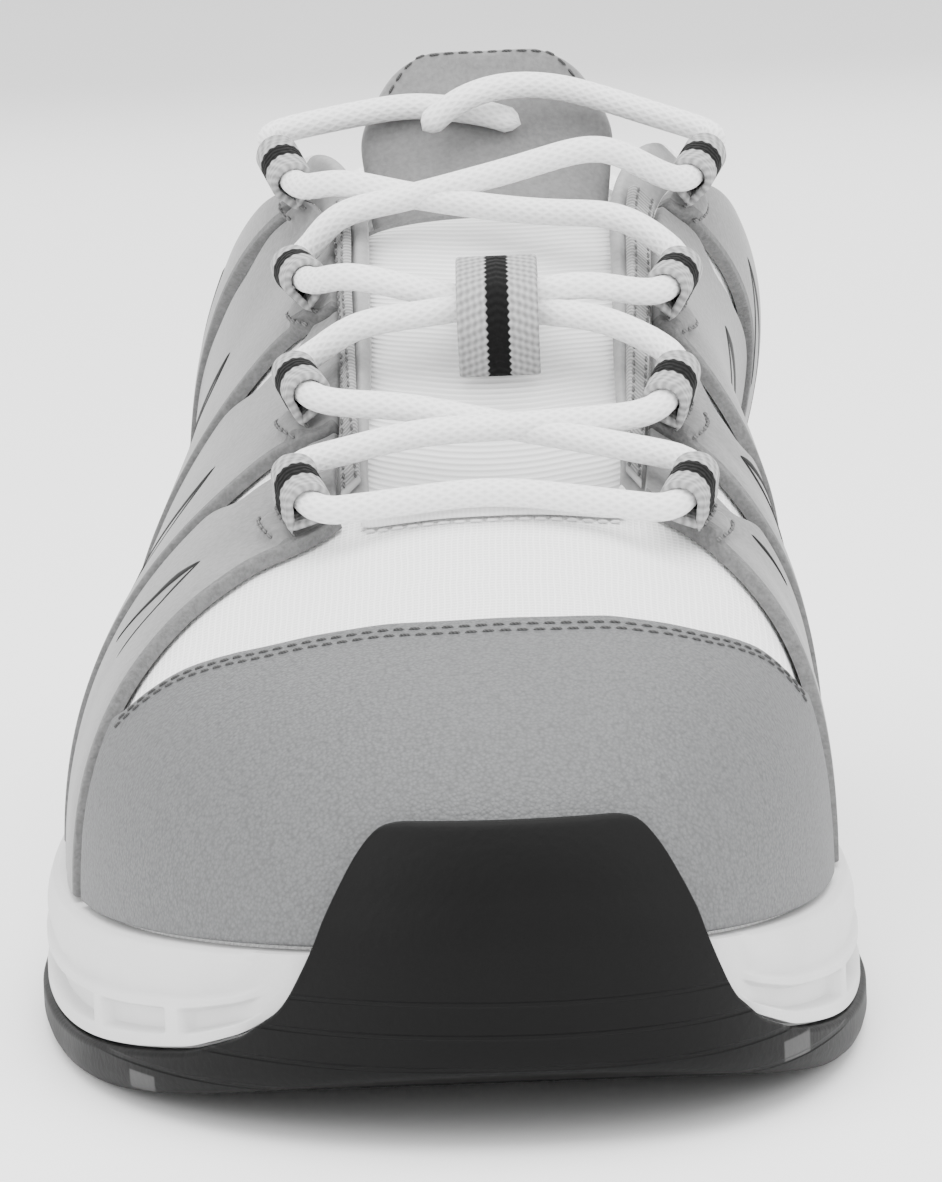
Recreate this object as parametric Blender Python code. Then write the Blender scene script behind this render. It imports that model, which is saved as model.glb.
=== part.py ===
"""Safety sneaker, right shoe: an assembly of closed solids in metres, +Z up.

The toe points to -Y and the medial side is +X. The ground is z = 0 under the middle of the sole.
Every piece is worked out from one ring of stations round the shoe. A place on the ring is a number u:
0 is the toe tip, then the medial stations follow to the heel tip, then the lateral ones back to the toe.
"""
from collections import namedtuple

import bmesh
import bpy
import numpy as np
from mathutils import Vector
from mathutils.bvhtree import BVHTree

# Driving sizes
LENGTH = 0.302
BALL_WIDTH = 0.114
HEEL_WIDTH = 0.083
INSTEP_HEIGHT = 0.113
FLOOR_HEIGHT = 0.024
RIM_HEIGHT = 0.037
TOE_SPRING = 0.010
GAP = 0.0003

# Upper
FEATHER_INSET = 0.0058
UPPER_WALL = 0.0022
COLLAR_WALL = 0.0065
THROAT_HALF_WIDTH = 0.0184
THROAT_SHIFT = 0.009
COLLAR_HALF_WIDTH = 0.0372
SIDE_BULGE = 0.010

# Outsole
PLATE_THICKNESS = 0.0045
EDGE_HEIGHT = 0.006
EDGE_THICKNESS = 0.0021
BUMPER_HEIGHT = 0.039
BUMPER_THICKNESS = 0.0028
BUMPER_LEAN = 0.0013
TREAD_MARGIN = 0.006
GROOVE_WIDTH = 0.0030
GROOVE_DEPTH = 0.0025
GROOVE_MARGIN = 0.0105
GROOVE_ZIGZAG = 0.0045

# Midsole
FLANGE_INSET = 0.0008
RECESS_INSET = 0.0026
LEDGE_INSET = 0.0009
RIM_INSET = 0.0022

# Tongue and insole
TONGUE_THICKNESS = 0.0045
TONGUE_ARCH = 0.38
INSOLE_THICKNESS = 0.0042

# Overlays
CAP_THICKNESS = 0.0015
BAND_THICKNESS = 0.0018
BAND_REAR_THICKNESS = 0.0011
BAND_SPLIT = 0.025
BAND_ROWS = 7
COUNTER_THICKNESS = 0.0012
TAPE_THICKNESS = 0.0012
OVERLAY_GAP = 0.0006

# Webbing and lace
WEBBING_THICKNESS = 0.0011
LOOP_WIDTH = 0.0102
LOOP_LENGTH = 0.0068
LOOP_SLANT = 0.30
KEEPER_WIDTH = 0.0115
LACE_DIAMETER = 0.0039
LACE_CLEARANCE = 0.0008
LACE_MERGE = 0.85
BAR_RISE = 0.0034

# Grooves between the tread's lugs, as shares of LENGTH from the toe
GROOVES = (0.150, 0.215, 0.280, 0.385, 0.450, 0.770, 0.905)

Station = namedtuple("Station", "name along rules lateral medial")
OUTLINE = [
    Station("toe_tip", 0.000, BALL_WIDTH, 0.19, 0.19),
    Station("toe_front", 0.022, BALL_WIDTH, -0.24, 0.59),
    Station("toe_round", 0.060, BALL_WIDTH, -0.50, 0.765),
    Station("toe_side", 0.115, BALL_WIDTH, -0.72, 0.895),
    Station("cap_side", 0.190, BALL_WIDTH, -0.88, 0.975),
    Station("ball", 0.280, BALL_WIDTH, -0.975, 1.000),
    Station("joint", 0.370, BALL_WIDTH, -1.000, 0.950),
    Station("forewaist", 0.460, BALL_WIDTH, -0.955, 0.840),
    Station("waist", 0.550, BALL_WIDTH, -0.875, 0.735),
    Station("arch", 0.640, HEEL_WIDTH, -1.090, 0.955),
    Station("ankle", 0.730, HEEL_WIDTH, -1.015, 0.975),
    Station("heel_front", 0.820, HEEL_WIDTH, -0.965, 1.010),
    Station("heel_side", 0.900, HEEL_WIDTH, -0.875, 0.985),
    Station("heel_round", 0.960, HEEL_WIDTH, -0.630, 0.750),
    Station("heel_back", 0.990, HEEL_WIDTH, -0.306, 0.427),
    Station("heel_tip", 1.000, HEEL_WIDTH, 0.060, 0.060),
]
LAST_ROW = len(OUTLINE) - 1
ROUND = 2 * LAST_ROW

# Heights of the sole at the same stations, as shares of the toe spring, floor, rim and edge heights
Sole = namedtuple("Sole", "tread floor rim edge")
SOLE = [
    Sole(1.00, 0.83, 0.670, 1.0),
    Sole(0.80, 0.81, 0.660, 1.0),
    Sole(0.50, 0.77, 0.635, 1.0),
    Sole(0.20, 0.70, 0.605, 1.0),
    Sole(0.02, 0.63, 0.575, 1.0),
    Sole(0.00, 0.60, 0.565, 1.0),
    Sole(0.00, 0.60, 0.580, 1.05),
    Sole(0.06, 0.64, 0.655, 1.15),
    Sole(0.22, 0.71, 0.755, 1.25),
    Sole(0.22, 0.80, 0.850, 1.25),
    Sole(0.06, 0.90, 0.920, 1.2),
    Sole(0.00, 0.96, 0.960, 1.15),
    Sole(0.00, 1.00, 0.985, 1.1),
    Sole(0.03, 1.00, 1.000, 1.1),
    Sole(0.10, 1.00, 1.010, 1.1),
    Sole(0.14, 1.00, 1.015, 1.1),
]

# The edge rises to the bumper round the toe: share of the bumper height at each place on the ring
Rise = namedtuple("Rise", "place share")
BUMPER_EDGE = [
    Rise(0.00, 1.00),
    Rise(0.64, 1.00),
    Rise(0.76, 0.95),
    Rise(0.95, 0.66),
    Rise(1.12, 0.42),
    Rise(1.35, 0.18),
    Rise(1.75, 0.05),
    Rise(2.25, 0.00),
]

# The upper's sections: one spoke from the floor to the top edge at each station.
# rail_side is the top edge's distance from the shoe's ridge as a share of the throat or collar half width,
# rail_along a share of LENGTH, rail_height and ridge_shift shares of the instep height and throat shift.
# rise, drop and reach place the spoke's two handles as shares of its height and of its span in plan.
# flare and bulge push the handles out as shares of SIDE_BULGE, flare on both sides, bulge for each side.
Spoke = namedtuple("Spoke", "rail_side across rail_along rail_height ridge rise flare drop reach bulge_lat bulge_med")
SPOKES = [
    Spoke(0.00, THROAT_HALF_WIDTH, 0.2900, 0.622, 1.00, 0.72, 0.25, 0.26, 0.52, 0.0, 0.0),
    Spoke(0.34, THROAT_HALF_WIDTH, 0.2905, 0.620, 1.00, 0.72, 0.25, 0.26, 0.52, -0.1, -0.1),
    Spoke(0.65, THROAT_HALF_WIDTH, 0.2930, 0.614, 1.00, 0.72, 0.25, 0.26, 0.54, -0.4, -0.2),
    Spoke(0.87, THROAT_HALF_WIDTH, 0.3010, 0.609, 1.00, 0.72, 0.25, 0.26, 0.56, -0.4, -0.2),
    Spoke(0.97, THROAT_HALF_WIDTH, 0.3230, 0.627, 1.00, 0.72, 0.25, 0.25, 0.56, -0.4, -0.1),
    Spoke(1.00, THROAT_HALF_WIDTH, 0.3630, 0.700, 1.00, 0.69, 0.25, 0.23, 0.55, -0.9, 0.2),
    Spoke(1.02, THROAT_HALF_WIDTH, 0.4150, 0.786, 1.00, 0.65, 0.25, 0.21, 0.58, -1.7, 0.7),
    Spoke(1.05, THROAT_HALF_WIDTH, 0.4750, 0.873, 1.00, 0.60, 0.25, 0.21, 0.62, -1.7, 1.1),
    Spoke(1.12, THROAT_HALF_WIDTH, 0.5350, 0.955, 1.00, 0.52, 0.25, 0.23, 0.66, -0.8, 1.8),
    Spoke(0.74, COLLAR_HALF_WIDTH, 0.5950, 0.985, 0.95, 0.45, 0.25, 0.26, 0.60, 0.2, 2.4),
    Spoke(0.92, COLLAR_HALF_WIDTH, 0.6700, 0.900, 0.85, 0.40, 0.25, 0.28, 0.50, 0.9, 2.1),
    Spoke(0.98, COLLAR_HALF_WIDTH, 0.7650, 0.830, 0.75, 0.40, 0.25, 0.30, 0.40, 0.8, 1.3),
    Spoke(0.87, COLLAR_HALF_WIDTH, 0.8580, 0.840, 0.60, 0.40, 0.28, 0.30, 0.35, 0.5, 0.6),
    Spoke(0.59, COLLAR_HALF_WIDTH, 0.9220, 0.885, 0.48, 0.40, 0.30, 0.30, 0.30, 0.3, 0.4),
    Spoke(0.27, COLLAR_HALF_WIDTH, 0.9470, 0.915, 0.42, 0.40, 0.32, 0.30, 0.30, 0.2, 0.2),
    Spoke(0.00, COLLAR_HALF_WIDTH, 0.9510, 0.925, 0.42, 0.40, 0.32, 0.30, 0.30, 0.2, 0.2),
]

# The tongue's free part, from where it leaves the throat to its rounded top: shares of LENGTH,
# the instep height and the throat's half width, and how far its sides fall back as a share of that width
TongueRow = namedtuple("TongueRow", "along height half_width arch")
TONGUE_TOP = [
    TongueRow(0.5364, 0.903, 0.95, 0.20),
    TongueRow(0.5563, 0.943, 1.00, 0.19),
    TongueRow(0.5728, 0.987, 1.04, 0.17),
    TongueRow(0.5861, 1.035, 1.06, 0.15),
    TongueRow(0.5960, 1.080, 0.92, 0.11),
    TongueRow(0.6010, 1.111, 0.72, 0.06),
    TongueRow(0.6036, 1.126, 0.42, 0.03),
]

# Top edge of the toe cap: the share of each spoke that it covers, by distance in stations from the toe tip
CapEdge = namedtuple("CapEdge", "place reach")
CAP_EDGE = [
    CapEdge(0.0, 0.65),
    CapEdge(1.0, 0.64),
    CapEdge(2.0, 0.61),
    CapEdge(3.0, 0.56),
    CapEdge(3.5, 0.50),
    CapEdge(4.0, 0.38),
    CapEdge(4.3, 0.29),
]

# Front edges of the quarter's diagonal bands: the place in stations from the toe at six shares of the spoke,
# from the throat down to the sole. Each band ends at the next one's front edge, and the last at the counter.
BAND_LEVELS = (0.93, 0.87, 0.74, 0.58, 0.38, 0.15)
Band = namedtuple("Band", "side number top throat shoulder middle low foot")
BANDS = [
    Band("lateral", 1, 3.56, 3.75, 4.15, 4.28, 4.30, 4.32),
    Band("lateral", 2, 5.10, 5.28, 5.60, 5.68, 5.75, 5.80),
    Band("lateral", 3, 6.65, 6.85, 7.22, 7.33, 7.38, 7.45),
    Band("lateral", 4, 8.25, 8.55, 9.10, 9.50, 9.80, 10.00),
    Band("medial", 1, 3.86, 4.02, 4.27, 4.36, 4.46, 4.50),
    Band("medial", 2, 5.02, 5.13, 5.22, 5.22, 5.30, 5.40),
    Band("medial", 3, 6.30, 6.32, 6.22, 6.15, 6.30, 6.45),
    Band("medial", 4, 7.92, 8.10, 8.45, 9.10, 9.45, 9.70),
]
COUNTER_PLACE = 12.1
COUNTER_REACH = 0.60
QUARTER_REACH = 0.88
WINDOW = 0.25

# Lace loops: the place in stations from the toe and the share of the spoke where each loop holds the lace
Loop = namedtuple("Loop", "side number place reach")
LOOPS = [
    Loop("lateral", 1, 8.41, 0.965),
    Loop("lateral", 2, 7.09, 0.893),
    Loop("lateral", 3, 5.63, 0.873),
    Loop("lateral", 4, 4.21, 0.860),
    Loop("medial", 1, 8.31, 0.936),
    Loop("medial", 2, 6.53, 0.937),
    Loop("medial", 3, 5.26, 0.909),
    Loop("medial", 4, 4.24, 0.811),
]

# The keeper's way over the crossing: distance along the tongue from it, and lift as a share of its height
KEEPER_PATH = (
    (-0.0130, 0.02), (-0.0098, 0.10), (-0.0070, 1.15), (-0.0035, 1.40), (0.0, 1.42),
    (0.0035, 1.36), (0.0065, 1.15), (0.0092, 0.10), (0.0130, 0.02),
)

# Ways of the lace's two ends over the tongue: distance from the ridge as a share of the throat's half width,
# height as a share of the instep height, and lift off the tongue in lace diameters
EndPoint = namedtuple("EndPoint", "reach height lift")
LACE_ENDS = {
    "lateral": (
        EndPoint(-0.95, 1.046, 0.20),
        EndPoint(-0.58, 1.048, 0.00),
        EndPoint(-0.26, 1.038, 0.00),
        EndPoint(0.05, 1.026, 0.00),
        EndPoint(0.30, 1.012, 0.00),
    ),
    "medial": (
        EndPoint(-0.82, 1.050, 0.50),
        EndPoint(-0.47, 1.052, 0.90),
        EndPoint(-0.10, 1.044, 1.30),
        EndPoint(0.22, 1.020, 1.30),
        EndPoint(0.50, 1.000, 0.60),
    ),
}

# Facets between neighbouring stations, from the toe to the heel
STEPS = [4, 4, 2, 2, 2, 2, 2, 2, 2, 2, 2, 2, 2, 2, 2]


def both_sides(medial_rows, lateral_rows):
    """Rows round the ring: the medial ones from toe to heel, then the lateral ones back to the toe."""
    back = lateral_rows[1:-1]
    return np.array(list(medial_rows) + list(back[::-1]), dtype=float)


def y_at(along):
    return (along - 0.5) * LENGTH


class Ring:
    """Smooth closed curve through one row of values for each place on the ring.

    It is the periodic cubic spline whose knots are the chord lengths of the sole's outline.
    """

    def __init__(self, rows, knots):
        self.rows = np.array(rows, dtype=float)
        self.steps = np.diff(knots)
        count = len(self.rows)
        matrix = np.zeros((count, count))
        right = np.zeros_like(self.rows)
        for i in range(count):
            before, after = self.steps[i - 1], self.steps[i]
            matrix[i, i - 1] += before
            matrix[i, i] += 2 * (before + after)
            matrix[i, (i + 1) % count] += after
            slope_after = (self.rows[(i + 1) % count] - self.rows[i]) / after
            slope_before = (self.rows[i] - self.rows[i - 1]) / before
            right[i] = 6 * (slope_after - slope_before)
        self.bend = np.linalg.solve(matrix, right)

    def __call__(self, u):
        u = np.asarray(u, dtype=float) % len(self.rows)
        i = np.floor(u).astype(int) % len(self.rows)
        j = (i + 1) % len(self.rows)
        share = (u - np.floor(u))[..., None]
        step = self.steps[i][..., None]
        curve = self.bend[i] * ((1 - share) ** 3 - (1 - share)) + self.bend[j] * (share ** 3 - share)
        return self.rows[i] * (1 - share) + self.rows[j] * share + curve * step ** 2 / 6


def outline_rows(side):
    rows = []
    for station in OUTLINE:
        rows.append((getattr(station, side) * station.rules / 2, y_at(station.along)))
    return rows


OUTLINE_POINTS = both_sides(outline_rows("medial"), outline_rows("lateral"))
CHORDS = np.linalg.norm(np.diff(np.vstack([OUTLINE_POINTS, OUTLINE_POINTS[:1]]), axis=0), axis=1)
KNOTS = np.concatenate([[0.0], np.cumsum(CHORDS)])
OUTLINE_RING = Ring(OUTLINE_POINTS, KNOTS)
SOLE_ROWS = [
    (TOE_SPRING * row.tread, FLOOR_HEIGHT * row.floor, RIM_HEIGHT * row.rim, EDGE_HEIGHT * row.edge) for row in SOLE
]
SOLE_RING = Ring(both_sides(SOLE_ROWS, SOLE_ROWS), KNOTS)


def outward(u):
    """Unit vector in plan, at right angles to the sole's outline and away from the shoe."""
    u = np.asarray(u, dtype=float)
    nudge = 0.01
    along = OUTLINE_RING(u + nudge) - OUTLINE_RING(u - nudge)
    normal = np.stack([along[..., 1], -along[..., 0]], axis=-1)
    return normal / np.linalg.norm(normal, axis=-1, keepdims=True)


def inset_point(u, inset, height):
    """Point at a height, a given distance inside the sole's outline."""
    plan = OUTLINE_RING(u) - outward(u) * np.broadcast_to(inset, np.shape(u))[..., None]
    return np.concatenate([plan, np.broadcast_to(height, np.shape(u))[..., None]], axis=-1)


def tread_height(u):
    return np.maximum(SOLE_RING(u)[..., 0], 0.0)


def floor_height(u):
    return SOLE_RING(u)[..., 1]


def rim_height(u):
    return SOLE_RING(u)[..., 2]


def from_toe(u):
    """Distance in stations from the toe tip, the same on both sides."""
    u = np.asarray(u, dtype=float) % ROUND
    return np.minimum(u, ROUND - u)


def edge_top(u):
    """Height of the outsole's upper edge: low along the sides, up to the bumper round the toe."""
    low = tread_height(u) + SOLE_RING(u)[..., 3]
    share = np.interp(from_toe(u), [row.place for row in BUMPER_EDGE], [row.share for row in BUMPER_EDGE])
    return low + (BUMPER_HEIGHT - low) * share


def spoke_rows(side):
    """The four control points of each spoke on one side, as one flat row of twelve numbers."""
    rows = []
    sign = 1.0 if side == "medial" else -1.0
    for row, spoke in enumerate(SPOKES):
        u = float(row) if side == "medial" else float(ROUND - row)
        normal = np.append(outward(u), 0.0)
        foot = inset_point(u, FEATHER_INSET, floor_height(u) + GAP)
        bulge = spoke.bulge_med if side == "medial" else spoke.bulge_lat
        top = np.array([
            THROAT_SHIFT * spoke.ridge + sign * spoke.rail_side * spoke.across,
            y_at(spoke.rail_along),
            INSTEP_HEIGHT * spoke.rail_height,
        ])
        span = (foot - top) * (1, 1, 0)
        tall = np.array([0.0, 0.0, top[2] - foot[2]])
        low = foot + tall * spoke.rise + normal * SIDE_BULGE * spoke.flare
        high = top - tall * spoke.drop + span * spoke.reach + normal * SIDE_BULGE * bulge
        rows.append(np.concatenate([foot, low, high, top]))
    return rows


SPOKE_RING = Ring(both_sides(spoke_rows("medial"), spoke_rows("lateral")), KNOTS)


def last_point(u, v):
    """Point on the upper's outer surface: spoke u is a cubic Bezier curve, v runs from floor to top edge."""
    u, v = np.broadcast_arrays(np.asarray(u, dtype=float), np.asarray(v, dtype=float))
    handles = SPOKE_RING(u)
    v = v[..., None]
    foot, low, high, top = (handles[..., i:i + 3] for i in (0, 3, 6, 9))
    return foot * (1 - v) ** 3 + low * 3 * v * (1 - v) ** 2 + high * 3 * v ** 2 * (1 - v) + top * v ** 3


def surface(u, v, lift=0.0):
    """Point a distance outside the upper's outer surface, along its normal."""
    u, v, lift = np.broadcast_arrays(np.asarray(u, float), np.asarray(v, float), np.asarray(lift, float))
    nudge = 0.01
    around = last_point(u + nudge, v) - last_point(u - nudge, v)
    upward = last_point(u, v + nudge) - last_point(u, v - nudge)
    normal = np.cross(around, upward)
    normal /= np.linalg.norm(normal, axis=-1, keepdims=True)
    return last_point(u, v) + normal * lift[..., None]


def v_at_height(u, height):
    """Where spoke u reaches a height."""
    u = np.atleast_1d(u)
    height = np.broadcast_to(height, u.shape)
    v = np.linspace(0.0, 1.0, 201)
    places = []
    for one, level in zip(u, height):
        z = last_point(one, v)[:, 2]
        places.append(np.interp(level, np.maximum.accumulate(z), v))
    return np.array(places)


def ring_columns():
    """Places on the ring where every closed piece has its facets' edges, the same on both sides."""
    medial = []
    for row, count in enumerate(STEPS):
        medial.extend(row + np.arange(count) / count)
    medial.append(float(LAST_ROW))
    lateral = [ROUND - u for u in medial[1:-1]]
    return np.array(medial + lateral[::-1])


COLUMNS = ring_columns()


def smooth(share):
    share = np.clip(share, 0.0, 1.0)
    return share * share * (3 - 2 * share)


def material(name, colour, roughness, metallic=0.0):
    made = bpy.data.materials.new(name)
    made.use_nodes = True
    shader = made.node_tree.nodes["Principled BSDF"]
    shader.inputs["Base Color"].default_value = (*colour, 1.0)
    shader.inputs["Roughness"].default_value = roughness
    shader.inputs["Metallic"].default_value = metallic
    return made


def solid(name, vertices, faces, finish):
    """One closed piece from its corners and faces, with every face turned outwards."""
    mesh = bpy.data.meshes.new(name)
    mesh.from_pydata([tuple(p) for p in vertices], [], [tuple(f) for f in faces])
    shape = bmesh.new()
    shape.from_mesh(mesh)
    bmesh.ops.recalc_face_normals(shape, faces=shape.faces)
    bmesh.ops.triangulate(shape, faces=shape.faces, quad_method="SHORT_EDGE")
    shape.to_mesh(mesh)
    shape.free()
    mesh.shade_smooth()
    mesh.set_sharp_from_angle(angle=np.radians(40))
    mesh.materials.append(finish)
    made = bpy.data.objects.new(name, mesh)
    bpy.context.scene.collection.objects.link(made)
    return made


def bridge(count, first, second):
    """Quads between two closed rings of corners, which start at the given numbers."""
    return [(first + i, first + (i + 1) % count, second + (i + 1) % count, second + i) for i in range(count)]


def ladder(count, first):
    """Fills a closed ring across: rungs join the corners that face each other on the two sides."""
    half = count // 2
    faces = [(first, first + 1, first + count - 1)]
    for i in range(1, half - 1):
        faces.append((first + i, first + i + 1, first + count - i - 1, first + count - i))
    faces.append((first + half - 1, first + half, first + half + 1))
    return faces


def ring_solid(name, rings, finish, hollow=False):
    """Closed piece through a list of rings: filled across at both ends, or joined end to end if hollow."""
    count = len(rings[0])
    faces = []
    for i in range(len(rings) - 1):
        faces += bridge(count, i * count, (i + 1) * count)
    if hollow:
        faces += bridge(count, (len(rings) - 1) * count, 0)
    else:
        faces += ladder(count, 0)
        faces += ladder(count, (len(rings) - 1) * count)
    return solid(name, np.vstack(rings), faces, finish)


def plate(name, under, over, finish):
    """Closed piece between two grids of points with the same layout."""
    rows, columns = under.shape[:2]
    size = rows * columns
    faces = []
    for i in range(rows - 1):
        for j in range(columns - 1):
            low = i * columns + j
            face = (low, low + 1, low + columns + 1, low + columns)
            faces.append(face)
            faces.append(tuple(size + k for k in face[::-1]))
    border = [j for j in range(columns)]
    border += [i * columns + columns - 1 for i in range(1, rows)]
    border += [(rows - 1) * columns + j for j in range(columns - 2, -1, -1)]
    border += [i * columns for i in range(rows - 2, 0, -1)]
    for k, low in enumerate(border):
        following = border[(k + 1) % len(border)]
        faces.append((low, size + low, size + following, following))
    corners = np.vstack([under.reshape(-1, 3), over.reshape(-1, 3)])
    return solid(name, corners, faces, finish)


def make_upper(finish):
    """Hollow shell: the wall is thin over the foot and grows into the padded collar round the ankle."""
    outer = [0.0, 0.10, 0.22, 0.35, 0.49, 0.63, 0.77, 0.90, 1.0]
    inner = [1.0, 0.90, 0.76, 0.60, 0.42, 0.24, 0.10, 0.0]
    padded = smooth((from_toe(COLUMNS) - 8.2) / 1.6)

    def wall(v):
        return UPPER_WALL + (COLLAR_WALL - UPPER_WALL) * padded * smooth((v - 0.45) / 0.35)

    rings = [surface(COLUMNS, v) for v in outer]
    edge = surface(COLUMNS, 1.0, -wall(1.0) / 2)
    along = surface(COLUMNS, 1.0) - surface(COLUMNS, 0.97)
    along /= np.linalg.norm(along, axis=1, keepdims=True)
    rings.append(edge + along * wall(1.0)[:, None] * 0.4)
    rings += [surface(COLUMNS, v, -wall(v)) for v in inner]
    return ring_solid("upper", rings, finish, hollow=True)


def cap_lift():
    return OVERLAY_GAP + CAP_THICKNESS + GAP / 2


def edge_inset(u, height):
    """Inner side of the outsole's edge: plumb along the shoe, leaning in behind the bumper."""
    inside = tread_height(u) + PLATE_THICKNESS
    share = np.clip((height - inside) / (rim_height(u) - inside), 0.0, 1.0)
    return EDGE_THICKNESS + BUMPER_LEAN * share * smooth((1.35 - from_toe(u)) / 0.4)


def bumper_point(u, height, lift, inset):
    """Side of the outsole at a height: a given inset up to the rim, on the toe cap above it."""
    low = inset_point(u, inset, height)
    hugging = surface(u, v_at_height(u, height), lift)
    share = smooth((height - rim_height(u) - 0.0006) / 0.006)[:, None]
    return low * (1 - share) + hugging * share


def make_outsole(finish):
    """Rubber tray: tread plate, thin upstanding edge, and the bumper up over the toe."""
    tread = tread_height(COLUMNS)
    top = edge_top(COLUMNS)
    outer = cap_lift() + GAP + BUMPER_THICKNESS
    rings = [
        inset_point(COLUMNS, TREAD_MARGIN, tread),
        inset_point(COLUMNS, 0.0015, tread + 0.0004),
        inset_point(COLUMNS, 0.0002, tread + 0.0020),
    ]
    base = tread + 0.0035
    knee = np.minimum(rim_height(COLUMNS) + 0.0005, (base + top) / 2)
    rings.append(bumper_point(COLUMNS, base, outer, 0.0))
    for share in (0.0, 0.46, 0.93):
        rings.append(bumper_point(COLUMNS, knee + (top - knee) * share, outer, 0.0))
    rings.append(bumper_point(COLUMNS, top, outer - 0.0008, 0.0008))
    for share in (1.0, 0.5, 0.0):
        level = knee + (top - knee) * share
        rings.append(bumper_point(COLUMNS, level, cap_lift() + GAP, edge_inset(COLUMNS, level)))
    rings.append(inset_point(COLUMNS, EDGE_THICKNESS, tread + PLATE_THICKNESS))
    outsole = ring_solid("outsole", rings, finish)
    cut_grooves(outsole)


def cut_grooves(outsole):
    """Zigzag grooves across the tread, which leave the main lugs standing. Each cutter follows the tread."""
    heights = np.array([SOLE_RING(float(row))[0] for row in range(LAST_ROW + 1)])
    stations = np.array([y_at(station.along) for station in OUTLINE])
    medial = np.array([station.medial * station.rules / 2 for station in OUTLINE])
    lateral = np.array([station.lateral * station.rules / 2 for station in OUTLINE])
    for number, along in enumerate(GROOVES):
        y = y_at(along)
        low = np.interp(y, stations, lateral) + GROOVE_MARGIN
        high = np.interp(y, stations, medial) - GROOVE_MARGIN
        x = np.array([low, (low + high) / 2, high])
        bend = GROOVE_ZIGZAG * np.array([0.0, 1.0, 0.0])
        front = np.stack([x, y - GROOVE_WIDTH / 2 + bend, np.zeros(3)], axis=1)
        floor = np.stack([front, front + (0.0, GROOVE_WIDTH, 0.0)])
        level = np.interp(floor[..., 1], stations, np.maximum(heights, 0.0))
        roof = floor.copy()
        roof[..., 2] = level + GROOVE_DEPTH
        floor[..., 2] = level - GROOVE_DEPTH
        cutter = plate("groove_%d" % number, floor, roof, outsole.data.materials[0])
        cut = outsole.modifiers.new("groove", "BOOLEAN")
        cut.operation = "DIFFERENCE"
        cut.solver = "EXACT"
        cut.object = cutter
        apply_modifiers(outsole)
        bpy.data.objects.remove(cutter, do_unlink=True)


def make_midsole(finish):
    """Cup that holds the upper: a flange over the outsole's edge, a recess, a ledge and a plain wall."""
    tread = tread_height(COLUMNS)
    plate_top = tread + PLATE_THICKNESS + GAP
    rim = rim_height(COLUMNS)
    step = np.minimum(edge_top(COLUMNS) + GAP, rim - 0.0030)
    hidden = smooth((edge_top(COLUMNS) - tread - 0.0065) / 0.0020)
    tall = rim - step
    behind = edge_inset(COLUMNS, step) + GAP

    def side(share, inset):
        level = step + tall * share
        covered = edge_inset(COLUMNS, level) + GAP
        return inset_point(COLUMNS, inset * (1 - hidden) + covered * hidden, level)

    rings = [
        inset_point(COLUMNS, TREAD_MARGIN, plate_top),
        inset_point(COLUMNS, EDGE_THICKNESS + GAP, plate_top),
        inset_point(COLUMNS, behind, step),
        side(0.02, FLANGE_INSET),
        side(0.13, FLANGE_INSET),
        side(0.17, RECESS_INSET),
        side(0.36, RECESS_INSET),
        side(0.41, LEDGE_INSET),
        side(0.52, LEDGE_INSET + 0.0007),
        side(0.97, RIM_INSET),
    ]
    inner_top = surface(COLUMNS, v_at_height(COLUMNS, rim), GAP)
    rings.append(inner_top)
    for share in (0.66, 0.33):
        level = v_at_height(COLUMNS, floor_height(COLUMNS) + (rim - floor_height(COLUMNS)) * share)
        rings.append(surface(COLUMNS, level, GAP))
    foot = surface(COLUMNS, 0.0, GAP)
    foot[:, 2] = floor_height(COLUMNS)
    rings.append(foot)
    return ring_solid("midsole", rings, finish)


def make_insole(finish):
    """Footbed on the midsole's floor, inside the upper's lower edge."""
    clear = UPPER_WALL + 2 * GAP
    level = floor_height(COLUMNS) + GAP
    low = surface(COLUMNS, 0.0, -clear)
    low[:, 2] = level
    high = surface(COLUMNS, v_at_height(COLUMNS, level + INSOLE_THICKNESS), -clear)
    high[:, 2] = level + INSOLE_THICKNESS
    return ring_solid("insole", [low, high], finish)


def across_throat(row, depth, steps):
    """Curve from one throat edge to the other, a depth below the upper, flattened by the lace."""
    left = [surface(-row, v, -depth) for v in (0.86, 0.96)]
    right = [surface(row, v, -depth) for v in (0.86, 0.96)]
    width = np.linalg.norm(right[1] - left[1])
    leave = (left[1] - left[0]) / np.linalg.norm(left[1] - left[0]) * width
    arrive = (right[0] - right[1]) / np.linalg.norm(right[0] - right[1]) * width
    t = np.linspace(0.0, 1.0, steps)[:, None]
    bend = (leave * (t ** 3 - 2 * t ** 2 + t) + arrive * (t ** 3 - t ** 2)) * TONGUE_ARCH
    arc = left[1] * (2 * t ** 3 - 3 * t ** 2 + 1) + right[1] * (3 * t ** 2 - 2 * t ** 3) + bend
    return np.vstack([left[0], arc, right[0]])


def grid_normals(grid):
    """Unit normal at each point of a grid of points."""
    normal = np.cross(np.gradient(grid, axis=1), np.gradient(grid, axis=0))
    return normal / np.linalg.norm(normal, axis=2, keepdims=True)


def tongue_grid(across=9):
    """Top side of the tongue: tucked under the vamp, arched over the throat, then free above it."""
    depth = UPPER_WALL + 2 * GAP
    rows = [surface(np.linspace(-reach, reach, across), v, -depth) for reach, v in ((2.4, 0.86), (3.1, 0.95))]
    for row in (4.1, 5.0, 6.0, 7.0, 7.6):
        rows.append(across_throat(row, depth, across - 2))
    side = np.linspace(-1.0, 1.0, across)
    for row in TONGUE_TOP:
        half = THROAT_HALF_WIDTH * row.half_width
        fall = THROAT_HALF_WIDTH * row.arch * side ** 2
        x = THROAT_SHIFT + half * side
        y = y_at(row.along) + fall
        z = INSTEP_HEIGHT * row.height - fall
        rows.append(np.stack([x, y, z], axis=1))
    return np.array(rows)


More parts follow.
